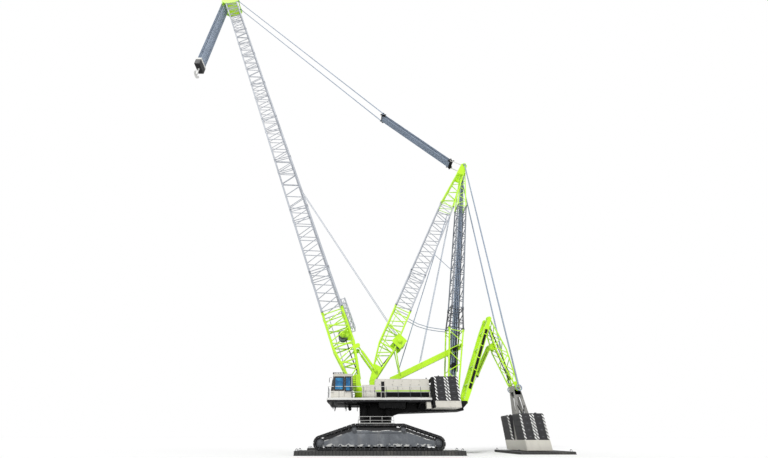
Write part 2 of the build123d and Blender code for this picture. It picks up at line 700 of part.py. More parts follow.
with BuildPart() as boom_base:
    base_stations = [
        (120, 52, BOOM_HALF_WIDTH),
        (BOOM_KNEE, BOOM_HALF_DEPTH, BOOM_HALF_WIDTH),
        (BOOM_BASE, BOOM_HALF_DEPTH, BOOM_HALF_WIDTH),
    ]
    rows = lattice_rows(base_stations, 7, BOOM_CHORD + 1.5, BOOM_LACING + 1, sleeves=TOP_END)
    for level in (BOOM_KNEE - 190, BOOM_KNEE, BOOM_KNEE + 260):
        rows += ring_rows(base_stations, level, BOOM_FRAME, BOOM_CHORD / 2)
    bars(rows)
    for side in (-1, 1):
        with BuildSketch(Plane.XZ.offset(-side * BOOM_HALF_WIDTH)):
            with BuildLine():
                Polyline((-38, 0), (-60, 180), (60, 180), (38, 0))
                ThreePointArc((38, 0), (0, -38), (-38, 0))
            make_face()
            Circle(PIN + PIN_GAP, mode=Mode.SUBTRACT)
        extrude(amount=FOOT_PLATE / 2, both=True)
    winch_mount(BOOM_WINCH, BOOM_HALF_DEPTH, BOOM_HALF_WIDTH, BOOM_CHORD)
    # lugs and pins of the back-stop rods, on the rear chords
    eye = BOOM_LINE.to_local_coords(Vector(STOP_EYE[0], 0, STOP_EYE[1]))
    chord_depth = corner(base_stations, eye.Z, 1, 1).X
    for side in (-1, 1):
        with BuildSketch(Plane.XZ.offset(-side * BOOM_HALF_WIDTH)):
            with Locations(((eye.X + chord_depth) / 2, eye.Z)):
                SlotCenterToCenter(eye.X - chord_depth, 48)
        extrude(amount=10, both=True)
        # the pin ends beside the rod's eye, which drifts
        boss_end = STOP_Y + STOP_EYE_HALF + 2 * PIN_GAP
        with BuildSketch(Plane.XZ.offset(-side * (boss_end + BOOM_HALF_WIDTH) / 2)):
            with Locations((eye.X, eye.Z)):
                Circle(PIN + 4)
        extrude(amount=(BOOM_HALF_WIDTH - boss_end) / 2, both=True)
write("boom_base", boom_base.part.moved(boom_place(0)))
boom_drum = winch_drum(WINCH_PLATE_Y - WINCH_PLATE / 2 - PIN_GAP, 40, 56)
write("boom_winch_drum", boom_drum.moved(boom_place(BOOM_WINCH[1]) * Location((BOOM_WINCH[0], 0, 0))))

boom_short = straight_section(BOOM_SHORT, BOOM_HALF_DEPTH, BOOM_HALF_WIDTH, 4, BOOM_CHORD, BOOM_LACING)
write("boom_short_insert", boom_short.moved(boom_place(BOOM_BASE)))
boom_insert = straight_section(BOOM_INSERT, BOOM_HALF_DEPTH, BOOM_HALF_WIDTH, 8, BOOM_CHORD, BOOM_LACING)
for number in range(BOOM_INSERTS):
    start = BOOM_BASE + BOOM_SHORT + number * BOOM_INSERT
    write(f"boom_insert_{number + 1}", boom_insert.moved(boom_place(start)))
TIP_START = BOOM_LENGTH - BOOM_HEAD - BOOM_TIP
boom_tip = straight_section(BOOM_TIP, BOOM_HALF_DEPTH, BOOM_HALF_WIDTH, 2, BOOM_CHORD, BOOM_LACING)
write("boom_tip", boom_tip.moved(boom_place(TIP_START)))

# the head: cheek plates on a bottom box, two rows of sheaves, and the pin of the stay pendants
HEAD_PIN, LOAD_SHEAVES, TOP_SHEAVES = (185, 150), (-190, 160), (0, 220)  # (behind the axis, up the head)
PENDANT_Y = STAY_HALF_WIDTH + 34
with BuildPart() as boom_head:
    for side in (-1, 1):
        with BuildSketch(Plane.XZ.offset(-side * BOOM_HALF_WIDTH)):
            with BuildLine():
                Polyline(
                    (BOOM_HALF_DEPTH + 12, 0),
                    (-BOOM_HALF_DEPTH - 12, 0),
                    (LOAD_SHEAVES[0] - 32, LOAD_SHEAVES[1] - 30),
                    (LOAD_SHEAVES[0] - 32, LOAD_SHEAVES[1] + 35),
                    (-60, BOOM_HEAD + 30),
                    (60, BOOM_HEAD + 30),
                    (HEAD_PIN[0] + 22, HEAD_PIN[1] + 16),
                    (HEAD_PIN[0] + 22, HEAD_PIN[1] - 22),
                    close=True,
                )
            make_face()
        extrude(amount=8, both=True)
    with Locations((0, 0, 10)):
        Box(2 * BOOM_HALF_DEPTH, 2 * BOOM_HALF_WIDTH, 20)
    with BuildSketch(Plane.XZ):
        with Locations(HEAD_PIN, LOAD_SHEAVES, TOP_SHEAVES):
            Circle(PIN)
    extrude(amount=BOOM_HALF_WIDTH, both=True)
    wheel = sheave(SHEAVE_RADIUS, HEAD_LANE_PITCH / 2 - 4)
    for x, z in (LOAD_SHEAVES, TOP_SHEAVES):
        add([wheel.moved(Location((x, y, z))) for y in lanes(HEAD_LANES, HEAD_LANE_PITCH)])
write("boom_head", boom_head.part.moved(boom_place(BOOM_LENGTH - BOOM_HEAD)))

# boom back-stops: two telescopic struts between the platform and the back of the boom
STOP_LINE = inclined(STOP_FOOT, STOP_EYE)
STOP_LENGTH = span(STOP_FOOT, STOP_EYE)
STOP_BORE = PIN + 6  # where the bore of a barrel starts, over its eye
with BuildPart() as backstop_barrels:
    for side in (-1, 1):
        with BuildSketch(Plane.XZ.offset(-side * STOP_Y)):
            Circle(STOP_EYE_RADIUS)
        extrude(amount=STOP_EYE_HALF, both=True)
        with BuildSketch(Plane.XY.offset(10)):
            with Locations((0, side * STOP_Y)):
                Circle(STOP_TUBE)
        extrude(amount=STOP_LENGTH - STOP_TRAVEL - STOP_EYE_RADIUS - 12)
        with BuildSketch(Plane.XY.offset(STOP_BORE)):
            with Locations((0, side * STOP_Y)):
                Circle(STOP_ROD + 0.5)
        extrude(amount=STOP_LENGTH, mode=Mode.SUBTRACT)
        with BuildSketch(Plane.XZ.offset(-side * STOP_Y)):
            Circle(PIN + PIN_GAP)
        extrude(amount=2 * STOP_EYE_HALF, both=True, mode=Mode.SUBTRACT)
write("backstop_barrels", backstop_barrels.part.moved(STOP_LINE.location))
with BuildPart() as backstop_rods:
    for side in (-1, 1):
        with BuildSketch(Plane.XY.offset(STOP_BORE + STOP_TRAVEL)):
            with Locations((0, side * STOP_Y)):
                Circle(STOP_ROD)
        extrude(amount=STOP_LENGTH - STOP_BORE - STOP_TRAVEL - PIN - 3)
        with BuildSketch(Plane.XZ.offset(-side * STOP_Y)):
            with Locations((0, STOP_LENGTH)):
                Circle(STOP_EYE_RADIUS)
                Circle(PIN, mode=Mode.SUBTRACT)
        extrude(amount=STOP_EYE_HALF, both=True)
write("backstop_rods", backstop_rods.part.moved(STOP_LINE.location))

# ---------------------------------------------------------------- derrick mast and rear mast
DERRICK_HEAD = DERRICK_LENGTH - DERRICK_BASE - DERRICK_SHORT - DERRICK_LONG

DERRICK_FOOT_PLATE = 16
OPEN_REAR = ("left", "right", "front")  # at the winch, and where the rear mast's head stands inside
with BuildPart() as derrick_base:
    derrick_stations = [
        (40, 30, DERRICK_HALF_WIDTH - 10),
        (410, DERRICK_HALF_DEPTH, DERRICK_HALF_WIDTH),
        (DERRICK_BASE, DERRICK_HALF_DEPTH, DERRICK_HALF_WIDTH),
    ]
    rows = lattice_rows(derrick_stations, 8, MAST_CHORD + 1, MAST_LACING + 1, OPEN_REAR, sleeves=TOP_END)
    # the rear lacing leaves the winch free
    inside, spread = MAST_CHORD / 2, MAST_LACING * 1.5
    for low, high, bays in ((76, DERRICK_WINCH[1] - 74, 3), (DERRICK_WINCH[1] + 74, DERRICK_BASE - 36, 3)):
        rows += zigzag_rows(derrick_stations, "rear", low, high, bays, MAST_LACING + 1, inside, spread)
    for level in (DERRICK_WINCH[1] - 110, DERRICK_WINCH[1] + 110):
        rows += ring_rows(derrick_stations, level, MAST_LACING + 2, inside)
    # props from the rear chords to the foot of the mast brace
    foot = DERRICK_LINE.to_local_coords(Vector(PROP_FOOT[0], 0, PROP_FOOT[1]))
    for side in (-1, 1):
        head = corner(derrick_stations, PROP_LEVEL, 1, side)
        rows.append((head, Vector(foot.X, side * (BRACE_SIZE[0] / 2 + PROP + PIN_GAP), foot.Z), PROP))
    bars(rows)
    winch_mount(DERRICK_WINCH, DERRICK_HALF_DEPTH, DERRICK_HALF_WIDTH, MAST_CHORD)
    # foot plates with the bores of the foot pins, and the pins that carry the back-stop barrels
    stop = DERRICK_LINE.to_local_coords(Vector(STOP_FOOT[0], 0, STOP_FOOT[1]))
    for side in (-1, 1):
        with BuildSketch(Plane.XZ.offset(-side * DERRICK_HALF_WIDTH)):
            with BuildLine():
                Polyline((-34, 0), (-50, 160), (50, 160), (34, 0))
                ThreePointArc((34, 0), (0, -34), (-34, 0))
            make_face()
            Circle(PIN + PIN_GAP, mode=Mode.SUBTRACT)
        extrude(amount=DERRICK_FOOT_PLATE / 2, both=True)
        with BuildSketch(Plane.XZ.offset(-side * (DERRICK_HALF_WIDTH + STOP_Y) / 2)):
            with Locations((stop.X, stop.Z)):
                Circle(PIN)
        extrude(amount=(STOP_Y - DERRICK_HALF_WIDTH) / 2 + STOP_EYE_HALF + 3, both=True)
write("derrick_base", derrick_base.part.moved(DERRICK_LINE.location))
derrick_drum = winch_drum(WINCH_PLATE_Y - WINCH_PLATE / 2 - PIN_GAP, 34, 48)
winch_place = DERRICK_LINE.offset(DERRICK_WINCH[1]).location * Location((DERRICK_WINCH[0], 0, 0))
write("derrick_winch_drum", derrick_drum.moved(winch_place))
for name, start, length, bays in (
    ("derrick_short_insert", DERRICK_BASE, DERRICK_SHORT, 6),
    ("derrick_long_insert", DERRICK_BASE + DERRICK_SHORT, DERRICK_LONG, 12),
):
    section = straight_section(length, DERRICK_HALF_DEPTH, DERRICK_HALF_WIDTH, bays, MAST_CHORD, MAST_LACING)
    write(name, section.moved(DERRICK_LINE.offset(start).location))
with BuildPart() as derrick_head:
    head_stations = [
        (0, DERRICK_HALF_DEPTH, DERRICK_HALF_WIDTH),
        (20, DERRICK_HALF_DEPTH, DERRICK_HALF_WIDTH),
        (DERRICK_HEAD - 190, 46, DERRICK_HALF_WIDTH),
    ]
    bars(lattice_rows(head_stations, 7, MAST_CHORD, MAST_LACING, OPEN_REAR, OPEN_REAR, sleeves=BOTTOM_END))
    for side in (-1, 1):
        with BuildSketch(Plane.XZ.offset(-side * DERRICK_HALF_WIDTH)):
            with BuildLine():
                Polyline(
                    (-60, DERRICK_HEAD - 220),
                    (-48, DERRICK_HEAD),
                    (0, DERRICK_HEAD + 44),
                    (48, DERRICK_HEAD),
                    (60, DERRICK_HEAD - 220),
                    close=True,
                )
            make_face()
        extrude(amount=8, both=True)
    with BuildSketch(Plane.XZ):
        with Locations((0, DERRICK_HEAD)):
            Circle(PIN)
    extrude(amount=BACKSTAY_Y + 16, both=True)
write("derrick_head", derrick_head.part.moved(DERRICK_LINE.offset(DERRICK_LENGTH - DERRICK_HEAD).location))

with BuildPart() as derrick_foot_bracket:
    x, z = DERRICK_FOOT
    for side in (-1, 1):
        for cheek in (-1, 1):
            offset = side * DERRICK_HALF_WIDTH + cheek * (DERRICK_FOOT_PLATE / 2 + PIN_GAP + 5)
            with BuildSketch(Plane.XZ.offset(-offset)):
                with BuildLine():
                    Polyline((x - 62, DECK_TOP), (x - 28, z), (x + 28, z), (x + 100, DECK_TOP), close=True)
                make_face()
                with Locations((x, z)):
                    Circle(28)
            extrude(amount=5, both=True)
        with BuildSketch(Plane.XZ.offset(-side * DERRICK_HALF_WIDTH)):
            with Locations((x, z)):
                Circle(PIN)
        extrude(amount=DERRICK_FOOT_PLATE / 2 + 13, both=True)
    # cross box between the two clevises
    with Locations((x + 14, 0, DECK_TOP)):
        Box(110, 2 * DERRICK_HALF_WIDTH + 30, 60, align=ON_TOP)
write("derrick_foot_bracket", derrick_foot_bracket.part)

REAR_STATIONS = [  # (distance from the foot, half depth, half width)
    (0, 52, REAR_HALF_WIDTH),
    (REAR_BASE, 84, REAR_HALF_WIDTH),
    (REAR_BASE + REAR_DARK, 68, REAR_HALF_WIDTH),
    (REAR_BASE + REAR_DARK + REAR_LONG, 62, REAR_HALF_WIDTH - 14),
    (REAR_LENGTH - 130, 26, REAR_HEAD_HALF_WIDTH),
]
for number, (name, bays, faces) in enumerate(
    (
        ("rear_mast_base", 6, ("left", "right")),
        ("rear_mast_middle", 3, FACES),
        ("rear_mast_insert", 16, FACES),
        ("rear_mast_head", 7, ("left", "right")),
    )
):
    with BuildPart() as mast_section:
        bars(lattice_rows(REAR_STATIONS[number : number + 2], bays, MAST_CHORD, MAST_LACING, faces))
        split(bisect_by=Plane.XY.offset(REAR_STATIONS[number][0]), keep=Keep.TOP)
        split(bisect_by=Plane.XY.offset(REAR_STATIONS[number + 1][0]), keep=Keep.BOTTOM)
        if name == "rear_mast_head":
            for side in (-1, 1):
                with BuildSketch(Plane.XZ.offset(-side * REAR_HEAD_HALF_WIDTH)):
                    with Locations((0, REAR_LENGTH - 70)):
                        Rectangle(64, 190)
                    with Locations((0, REAR_LENGTH)):
                        Circle(PIN + PIN_GAP, mode=Mode.SUBTRACT)
                extrude(amount=7, both=True)
    write(name, mast_section.part.moved(REAR_LINE.location))

# a box beam with a cross tube that is held between the rear chords of the mast
brace_end = REAR_LINE.from_local_coords(corner(REAR_STATIONS, BRACE_LEVEL, 1, 0))
BRACE_END = (brace_end.X, brace_end.Z)
with BuildPart() as mast_brace:
    with BuildSketch(Plane.XY):
        RectangleRounded(BRACE_SIZE[1], BRACE_SIZE[0], 5)
    extrude(amount=span(BRACE_START, BRACE_END) - 14)
    with BuildSketch(Plane.XZ):
        with Locations((0, span(BRACE_START, BRACE_END))):
            Circle(16)
    extrude(amount=REAR_HALF_WIDTH - MAST_CHORD - PIN_GAP, both=True)
write("mast_brace", mast_brace.part.moved(inclined(BRACE_START, BRACE_END).location))

with BuildPart() as brace_pedestal:
    x, z = BRACE_START
    for cheek in (-1, 1):
        with BuildSketch(Plane.XZ.offset(cheek * (BRACE_SIZE[0] / 2 + 8 + PIN_GAP))):
            with BuildLine():
                Polyline((x - 60, DECK_TOP), (x - 10, z + 30), (x + 50, z + 50), (x + 130, DECK_TOP))
                Line((x + 130, DECK_TOP), (x - 60, DECK_TOP))
            make_face()
        extrude(amount=8, both=True)
write("brace_pedestal", brace_pedestal.part)

# ---------------------------------------------------------------- boom stay and its blocks
STAY_LINE = inclined(UPPER_BLOCK, LOWER_BLOCK)
ROPES_LENGTH = span(UPPER_BLOCK, LOWER_BLOCK)


BLOCK_LANES, LANE_PITCH, BLOCK_SHEAVE, BLOCK_CHEEK = 6, 24, 34, 4
LINK_Y = BLOCK_LANES * LANE_PITCH / 2 + BLOCK_CHEEK + 3


def sheave_block(axle_half):
    """Sheaves on an axle at the origin along Y, between two waisted cheeks."""
    with BuildSketch(Plane.XZ) as cheek:
        with Locations((0, -28), (0, 28)):
            Rectangle(84, 22)
        Rectangle(52, 60)
    with BuildPart() as block:
        with BuildSketch(Plane.XZ):
            Circle(PIN)
        extrude(amount=axle_half, both=True)
        wheel = sheave(BLOCK_SHEAVE, LANE_PITCH / 2 - 2)
        add([wheel.moved(Location((0, y, 0))) for y in lanes(BLOCK_LANES, LANE_PITCH)])
        for side in (-1, 1):
            cheek_y = side * (BLOCK_LANES * LANE_PITCH / 2 + BLOCK_CHEEK / 2 - 1)
            add(side_part(cheek.sketch, cheek_y, BLOCK_CHEEK))
    return block.part


write("upper_luffing_block", sheave_block(LINK_Y + 8).moved(STAY_LINE.location))
write("lower_luffing_block", sheave_block(PENDANT_Y + 10).moved(STAY_LINE.offset(ROPES_LENGTH).location))
mast_pin = STAY_LINE.to_local_coords(Vector(MAST_HEAD[0], 0, MAST_HEAD[1]))
link_turn = atan2(mast_pin.Z, mast_pin.X) * 180 / pi
with BuildPart() as mast_head_links:
    for side in (-1, 1):
        with BuildSketch(Plane.XZ.offset(-side * LINK_Y)):
            with Locations((mast_pin.X / 2, mast_pin.Z / 2)):
                Rectangle(hypot(mast_pin.X, mast_pin.Z), 14, rotation=link_turn)
            with Locations((0, 0), (mast_pin.X, mast_pin.Z)):
                Circle(PIN + 7)
            with Locations((0, 0), (mast_pin.X, mast_pin.Z)):
                Circle(PIN + PIN_GAP, mode=Mode.SUBTRACT)
        extrude(amount=3, both=True)
write("mast_head_links", mast_head_links.part.moved(STAY_LINE.location))
with BuildPart() as luffing_ropes:
    with BuildSketch(Plane.XY):
        across = 2 * (BLOCK_SHEAVE - SHEAVE_GROOVE + FALL + PIN_GAP)
        with GridLocations(across, LANE_PITCH, 2, BLOCK_LANES):
            Circle(FALL)
    extrude(amount=ROPES_LENGTH)
write("luffing_ropes", luffing_ropes.part.moved(STAY_LINE.location))

STAY_END = BOOM_LINE.from_local_coords(Vector(HEAD_PIN[0], 0, BOOM_LENGTH - BOOM_HEAD + HEAD_PIN[1]))
PENDANT_LINE = inclined(LOWER_BLOCK, (STAY_END.X, STAY_END.Z))
PENDANT_LENGTH = span(LOWER_BLOCK, (STAY_END.X, STAY_END.Z))
with BuildPart() as boom_pendants:
    for side in (-1, 1):
        for level, clear in ((0, PIN_GAP), (PENDANT_LENGTH, PENDANT_DRIFT)):
            with BuildSketch(Plane.XZ.offset(-side * PENDANT_Y)):
                with Locations((0, level)):
                    Circle(PIN + clear + 9)
                    Circle(PIN + clear, mode=Mode.SUBTRACT)
            extrude(amount=6, both=True)
        with BuildSketch(Plane.XY.offset(PIN + 6)):
            with Locations((0, side * PENDANT_Y)):
                Circle(ROPE)
        extrude(amount=PENDANT_LENGTH - 2 * PIN - PENDANT_DRIFT - 11)
write("boom_pendants", boom_pendants.part.moved(PENDANT_LINE.location))

# ---------------------------------------------------------------- load hook
load_level = BOOM_LENGTH - BOOM_HEAD + LOAD_SHEAVES[1]
LOAD_AXLE = BOOM_LINE.from_local_coords(Vector(LOAD_SHEAVES[0], 0, load_level))
HOOK_X = LOAD_AXLE.X
with BuildPart() as hoist_ropes:
    with BuildSketch(Plane.XY.offset(HOOK_BLOCK_TOP + PIN_GAP)):
        with Locations((HOOK_X, 0)):
            across = 2 * (SHEAVE_RADIUS - SHEAVE_GROOVE + FALL + PIN_GAP)
            with GridLocations(across, HEAD_LANE_PITCH, 2, HEAD_LANES):
                Circle(FALL)
    extrude(amount=LOAD_AXLE.Z - HOOK_BLOCK_TOP - PIN_GAP)
write("hoist_ropes", hoist_ropes.part)

with BuildPart() as hook_block:
    with Locations((HOOK_X, 0, HOOK_BLOCK_TOP)):
        Box(110, 240, 210, align=(Align.CENTER, Align.CENTER, Align.MAX))
write("hook_block", hook_block.part)

HOOK_EYE = HOOK_BLOCK_TOP - 400  # level of the two horns' tips
with BuildPart() as hook:
    with BuildSketch(Plane.XY.offset(HOOK_BLOCK_TOP - 210 - PIN_GAP)):
        with Locations((HOOK_X, 0)):
            Circle(16)
    extrude(amount=HOOK_EYE + 60 - HOOK_BLOCK_TOP + 210)
    with BuildSketch(Plane.YZ.offset(HOOK_X)):
        with Locations((0, HOOK_EYE)):
            Circle(88)
            Circle(48, mode=Mode.SUBTRACT)
            with Locations((0, 50)):
                Rectangle(200, 100, mode=Mode.SUBTRACT)
            with Locations((-68, 0), (68, 0)):
                Circle(20)
            with Locations((0, 10)):
                Rectangle(30, 140)
    extrude(amount=15, both=True)
write("hook", hook.part)

# ---------------------------------------------------------------- V-frame
INNER_LINE = inclined(V_HINGE, V_APEX)
INNER_LENGTH = span(V_HINGE, V_APEX)
with BuildPart() as v_frame_inner_arm:
    for side in (-1, 1):
        with BuildSketch(Plane.XZ.offset(-side * V_ARM_Y)):
            with BuildLine():
                Polyline(
                    (-18, 0),
                    (-V_ARM_DEPTH, 140),
                    (-V_ARM_DEPTH, INNER_LENGTH - 140),
                    (-18, INNER_LENGTH),
                    (18, INNER_LENGTH),
                    (V_ARM_DEPTH, INNER_LENGTH - 140),
                    (V_ARM_DEPTH, 140),
                    (18, 0),
                    close=True,
                )
            make_face()
            with Locations((0, 0), (0, INNER_LENGTH)):
                Circle(22)
            with Locations((0, 0), (0, INNER_LENGTH)):
                Circle(PIN + PIN_GAP, mode=Mode.SUBTRACT)
        extrude(amount=13, both=True)
    # the cross bars lie behind the middle, clear of the cylinder
    bars([((-12, -V_ARM_Y, level), (-12, V_ARM_Y, level), 9) for level in (200, 420, 640, 860)])
write("v_frame_inner_arm", v_frame_inner_arm.part.moved(INNER_LINE.location))

OUTER_LINE = inclined(V_APEX, V_TIP)
OUTER_LENGTH = span(V_APEX, V_TIP)
with BuildPart() as v_frame_outer_arm:
    outer_stations = [(0, 20, TIP_ARM_Y - 14), (380, 62, TIP_ARM_Y - 8), (OUTER_LENGTH - 40, 18, TIP_ARM_Y)]
    bars(lattice_rows(outer_stations, 7, 8, 5, sleeves=()))
    # lug of the cylinder's barrel: two cheeks from a cross tube between the front chords, and their pin
    eye = OUTER_LINE.to_local_coords(Vector(CYLINDER_EYE[0], 0, CYLINDER_EYE[1]))
    seat = corner(outer_stations, eye.Z, 1, 1)
    for level in (eye.Z - 34, eye.Z + 34):
        near, far = (corner(outer_stations, level, 1, side) for side in (-1, 1))
        bars([(near, far, 7)])
    for cheek in (-1, 1):
        with BuildSketch(Plane.XZ.offset(cheek * (CYLINDER_RADIUS + PIN_GAP + 4))):
            with BuildLine():
                Polyline((seat.X - 3, eye.Z - 46), (seat.X - 3, eye.Z + 46), (eye.X, eye.Z + 20))
                Line((eye.X, eye.Z + 20), (eye.X, eye.Z - 20))
                Line((eye.X, eye.Z - 20), (seat.X - 3, eye.Z - 46))
            make_face()
            with Locations((eye.X, eye.Z)):
                Circle(20)
        extrude(amount=4, both=True)
    with BuildSketch(Plane.XZ):
        with Locations((eye.X, eye.Z)):
            Circle(PIN)
    extrude(amount=CYLINDER_RADIUS + 14, both=True)
    for side in (-1, 1):
        with BuildSketch(Plane.XZ.offset(-side * TIP_ARM_Y)):
            with Locations((0, OUTER_LENGTH - 20)):
                Rectangle(44, 90)
            with Locations((0, OUTER_LENGTH)):
                Circle(22)
                Circle(PIN + PIN_GAP, mode=Mode.SUBTRACT)
        extrude(amount=8, both=True)
    with BuildSketch(Plane.XZ):
        Circle(PIN)
    extrude(amount=V_ARM_Y + 14, both=True)
    for side in (-1, 1):
        with BuildSketch(Plane.XZ.offset(-side * (TIP_ARM_Y - 14))):
            Circle(30)
        extrude(amount=8, both=True)
write("v_frame_outer_arm", v_frame_outer_arm.part.moved(OUTER_LINE.location))

CYLINDER_LINE = inclined(CYLINDER_FOOT, CYLINDER_EYE)
CYLINDER_LENGTH = span(CYLINDER_FOOT, CYLINDER_EYE)
BARREL_MOUTH = CYLINDER_LENGTH - CYLINDER_BARREL
with BuildPart() as v_cylinder_barrel:  # its eye is on the outer arm, its mouth looks down
    with BuildSketch(Plane.XZ):
        with Locations((0, CYLINDER_LENGTH)):
            Circle(CYLINDER_RADIUS)
    extrude(amount=CYLINDER_RADIUS, both=True)
    with BuildSketch(Plane.XY.offset(BARREL_MOUTH)):
        Circle(CYLINDER_RADIUS)
    extrude(amount=CYLINDER_BARREL - 10)
    with BuildSketch(Plane.XY.offset(BARREL_MOUTH)):
        Circle(CYLINDER_RADIUS + 4)
    extrude(amount=24)
    with BuildSketch(Plane.XY.offset(BARREL_MOUTH)):
        Circle(CYLINDER_ROD + 1)
    extrude(amount=CYLINDER_BARREL - PIN - 16, mode=Mode.SUBTRACT)
    with BuildSketch(Plane.XZ):
        with Locations((0, CYLINDER_LENGTH)):
            Circle(PIN + PIN_GAP)
    extrude(amount=2 * CYLINDER_RADIUS, both=True, mode=Mode.SUBTRACT)
write("v_cylinder_barrel", v_cylinder_barrel.part.moved(CYLINDER_LINE.location))
with BuildPart() as v_cylinder_rod:
    with BuildSketch(Plane.XY.offset(PIN + 3)):
        Circle(CYLINDER_ROD)
    extrude(amount=CYLINDER_LENGTH - 2 * PIN - 54)
    with BuildSketch(Plane.XZ):
        Circle(PIN + 10)
        Circle(PIN, mode=Mode.SUBTRACT)
    extrude(amount=ROD_EYE_HALF, both=True)
write("v_cylinder_rod", v_cylinder_rod.part.moved(CYLINDER_LINE.location))

# ---------------------------------------------------------------- hanging ballast
BALLAST_BASE = BALLAST_MAT_THICK + BALLAST_CLEAR
BALLAST_FRONT, BALLAST_REAR = BALLAST_X - BALLAST_LENGTH / 2, BALLAST_X + BALLAST_LENGTH / 2
with BuildPart() as ballast_tray:
    with Locations((BALLAST_X, 0, BALLAST_BASE)):
        Box(BALLAST_LENGTH, 2 * BALLAST_HALF_WIDTH, BALLAST_TRAY, align=ON_TOP)
write("ballast_tray", ballast_tray.part)
ballast_stacks = []
for side in (-1, 1):
    low, high = sorted((side * BALLAST_GAP / 2, side * BALLAST_HALF_WIDTH))
    for front, rear in ((BALLAST_FRONT, BALLAST_X - 2), (BALLAST_X + 2, BALLAST_REAR)):
        base = BALLAST_BASE + BALLAST_TRAY
        ballast_stacks.append(stack(front, rear, low, high, base, BALLAST_SLABS, BALLAST_SLAB))
with BuildPart() as ballast_weights:
    add(ballast_stacks)
write("ballast_weights", ballast_weights.part)

PYLON_Y = 52
PYLON_FOOT = BALLAST_BASE + BALLAST_TRAY
with BuildPart() as ballast_pylon:
    x, z = V_TIP
    for side in (-1, 1):
        with BuildSketch(Plane.XZ.offset(-side * PYLON_Y)):
            with BuildLine():
                Polyline((x - 95, PYLON_FOOT), (x - 40, z - 20), (x + 40, z - 20), (x + 95, PYLON_FOOT))
                Line((x + 95, PYLON_FOOT), (x - 95, PYLON_FOOT))
            make_face()
            with BuildLine():
                Polyline((x - 45, PYLON_FOOT + 40), (x - 18, z - 90), (x + 18, z - 90))
                Polyline((x + 18, z - 90), (x + 45, PYLON_FOOT + 40), (x - 45, PYLON_FOOT + 40))
            make_face(mode=Mode.SUBTRACT)
        extrude(amount=8, both=True)
    with Locations((x, 0, z - 5)):
        Box(76, 2 * PYLON_Y + 16, 60)
    with BuildSketch(Plane.XZ):
        with Locations(V_TIP):
            Circle(PIN)
    extrude(amount=BACKSTAY_Y + 14, both=True)
write("ballast_pylon", ballast_pylon.part)

BACKSTAY_LINE = inclined((MAST_HEAD[0], MAST_HEAD[1]), V_TIP)
BACKSTAY_LENGTH = span(MAST_HEAD, V_TIP)
with BuildPart() as backstay_pendants:
    for side in (-1, 1):
        for level, clear in ((0, PIN_GAP), (BACKSTAY_LENGTH, BACKSTAY_DRIFT)):
            with BuildSketch(Plane.XZ.offset(-side * BACKSTAY_Y)):
                with Locations((0, level)):
                    Circle(PIN + clear + 9)
                    Circle(PIN + clear, mode=Mode.SUBTRACT)
            extrude(amount=6, both=True)
        with BuildSketch(Plane.XY.offset(PIN + 6)):
            with Locations((0, side * BACKSTAY_Y)):
                Circle(ROPE)
        extrude(amount=BACKSTAY_LENGTH - 2 * PIN - BACKSTAY_DRIFT - 11)
write("backstay_pendants", backstay_pendants.part.moved(BACKSTAY_LINE.location))
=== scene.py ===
import json
import math

import bpy
from mathutils import Matrix, Vector


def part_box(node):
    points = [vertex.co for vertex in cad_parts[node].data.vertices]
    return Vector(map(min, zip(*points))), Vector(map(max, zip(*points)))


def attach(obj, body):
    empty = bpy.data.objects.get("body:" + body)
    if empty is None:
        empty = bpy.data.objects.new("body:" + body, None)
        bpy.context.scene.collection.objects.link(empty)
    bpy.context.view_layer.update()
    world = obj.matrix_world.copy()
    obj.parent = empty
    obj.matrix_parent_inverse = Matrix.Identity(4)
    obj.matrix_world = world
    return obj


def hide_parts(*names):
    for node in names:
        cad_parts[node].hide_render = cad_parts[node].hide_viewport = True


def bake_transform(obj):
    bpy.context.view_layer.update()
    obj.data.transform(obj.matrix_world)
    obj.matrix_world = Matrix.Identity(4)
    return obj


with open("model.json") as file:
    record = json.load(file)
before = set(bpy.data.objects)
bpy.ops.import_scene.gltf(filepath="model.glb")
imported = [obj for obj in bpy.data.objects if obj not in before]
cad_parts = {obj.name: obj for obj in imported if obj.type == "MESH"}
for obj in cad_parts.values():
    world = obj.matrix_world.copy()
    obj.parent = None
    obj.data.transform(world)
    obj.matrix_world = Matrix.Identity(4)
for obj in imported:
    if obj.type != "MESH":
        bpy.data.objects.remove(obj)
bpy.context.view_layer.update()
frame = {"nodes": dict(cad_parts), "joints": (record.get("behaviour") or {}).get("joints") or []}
nodes = frame["nodes"]
joints = {joint["name"]: joint for joint in frame["joints"]}


# -------------------- finishes
def put(tree, kind, inputs=None, **settings):
    """A node with its settings; each input is a value or the socket that feeds it."""
    made = tree.nodes.new("ShaderNode" + kind)
    for key, value in settings.items():
        setattr(made, key, value)
    for key, value in (inputs or {}).items():
        if isinstance(value, bpy.types.NodeSocket):
            tree.links.new(value, made.inputs[key])
        else:
            made.inputs[key].default_value = value
    return made


def calc(operation, *values):
    """One step of arithmetic; each value is a number or the socket that feeds it."""
    tree = next(value.id_data for value in values if isinstance(value, bpy.types.NodeSocket))
    made = put(tree, "Math", operation=operation)
    for place, value in enumerate(values):
        if isinstance(value, bpy.types.NodeSocket):
            tree.links.new(value, made.inputs[place])
        else:
            made.inputs[place].default_value = value
    return made.outputs[0]


def fade(value, low, high):
    """0 below low, 1 above high, smooth between."""
    made = put(
        value.id_data, "MapRange", {"Value": value, "From Min": low, "From Max": high},
        interpolation_type="SMOOTHSTEP",
    )
    return made.outputs["Result"]


def mixed(share, first, second):
    """The first colour where share is 0, the second where it is 1."""
    made = put(share.id_data, "MixRGB", {"Fac": share, "Color1": first, "Color2": second})
    return made.outputs["Color"]


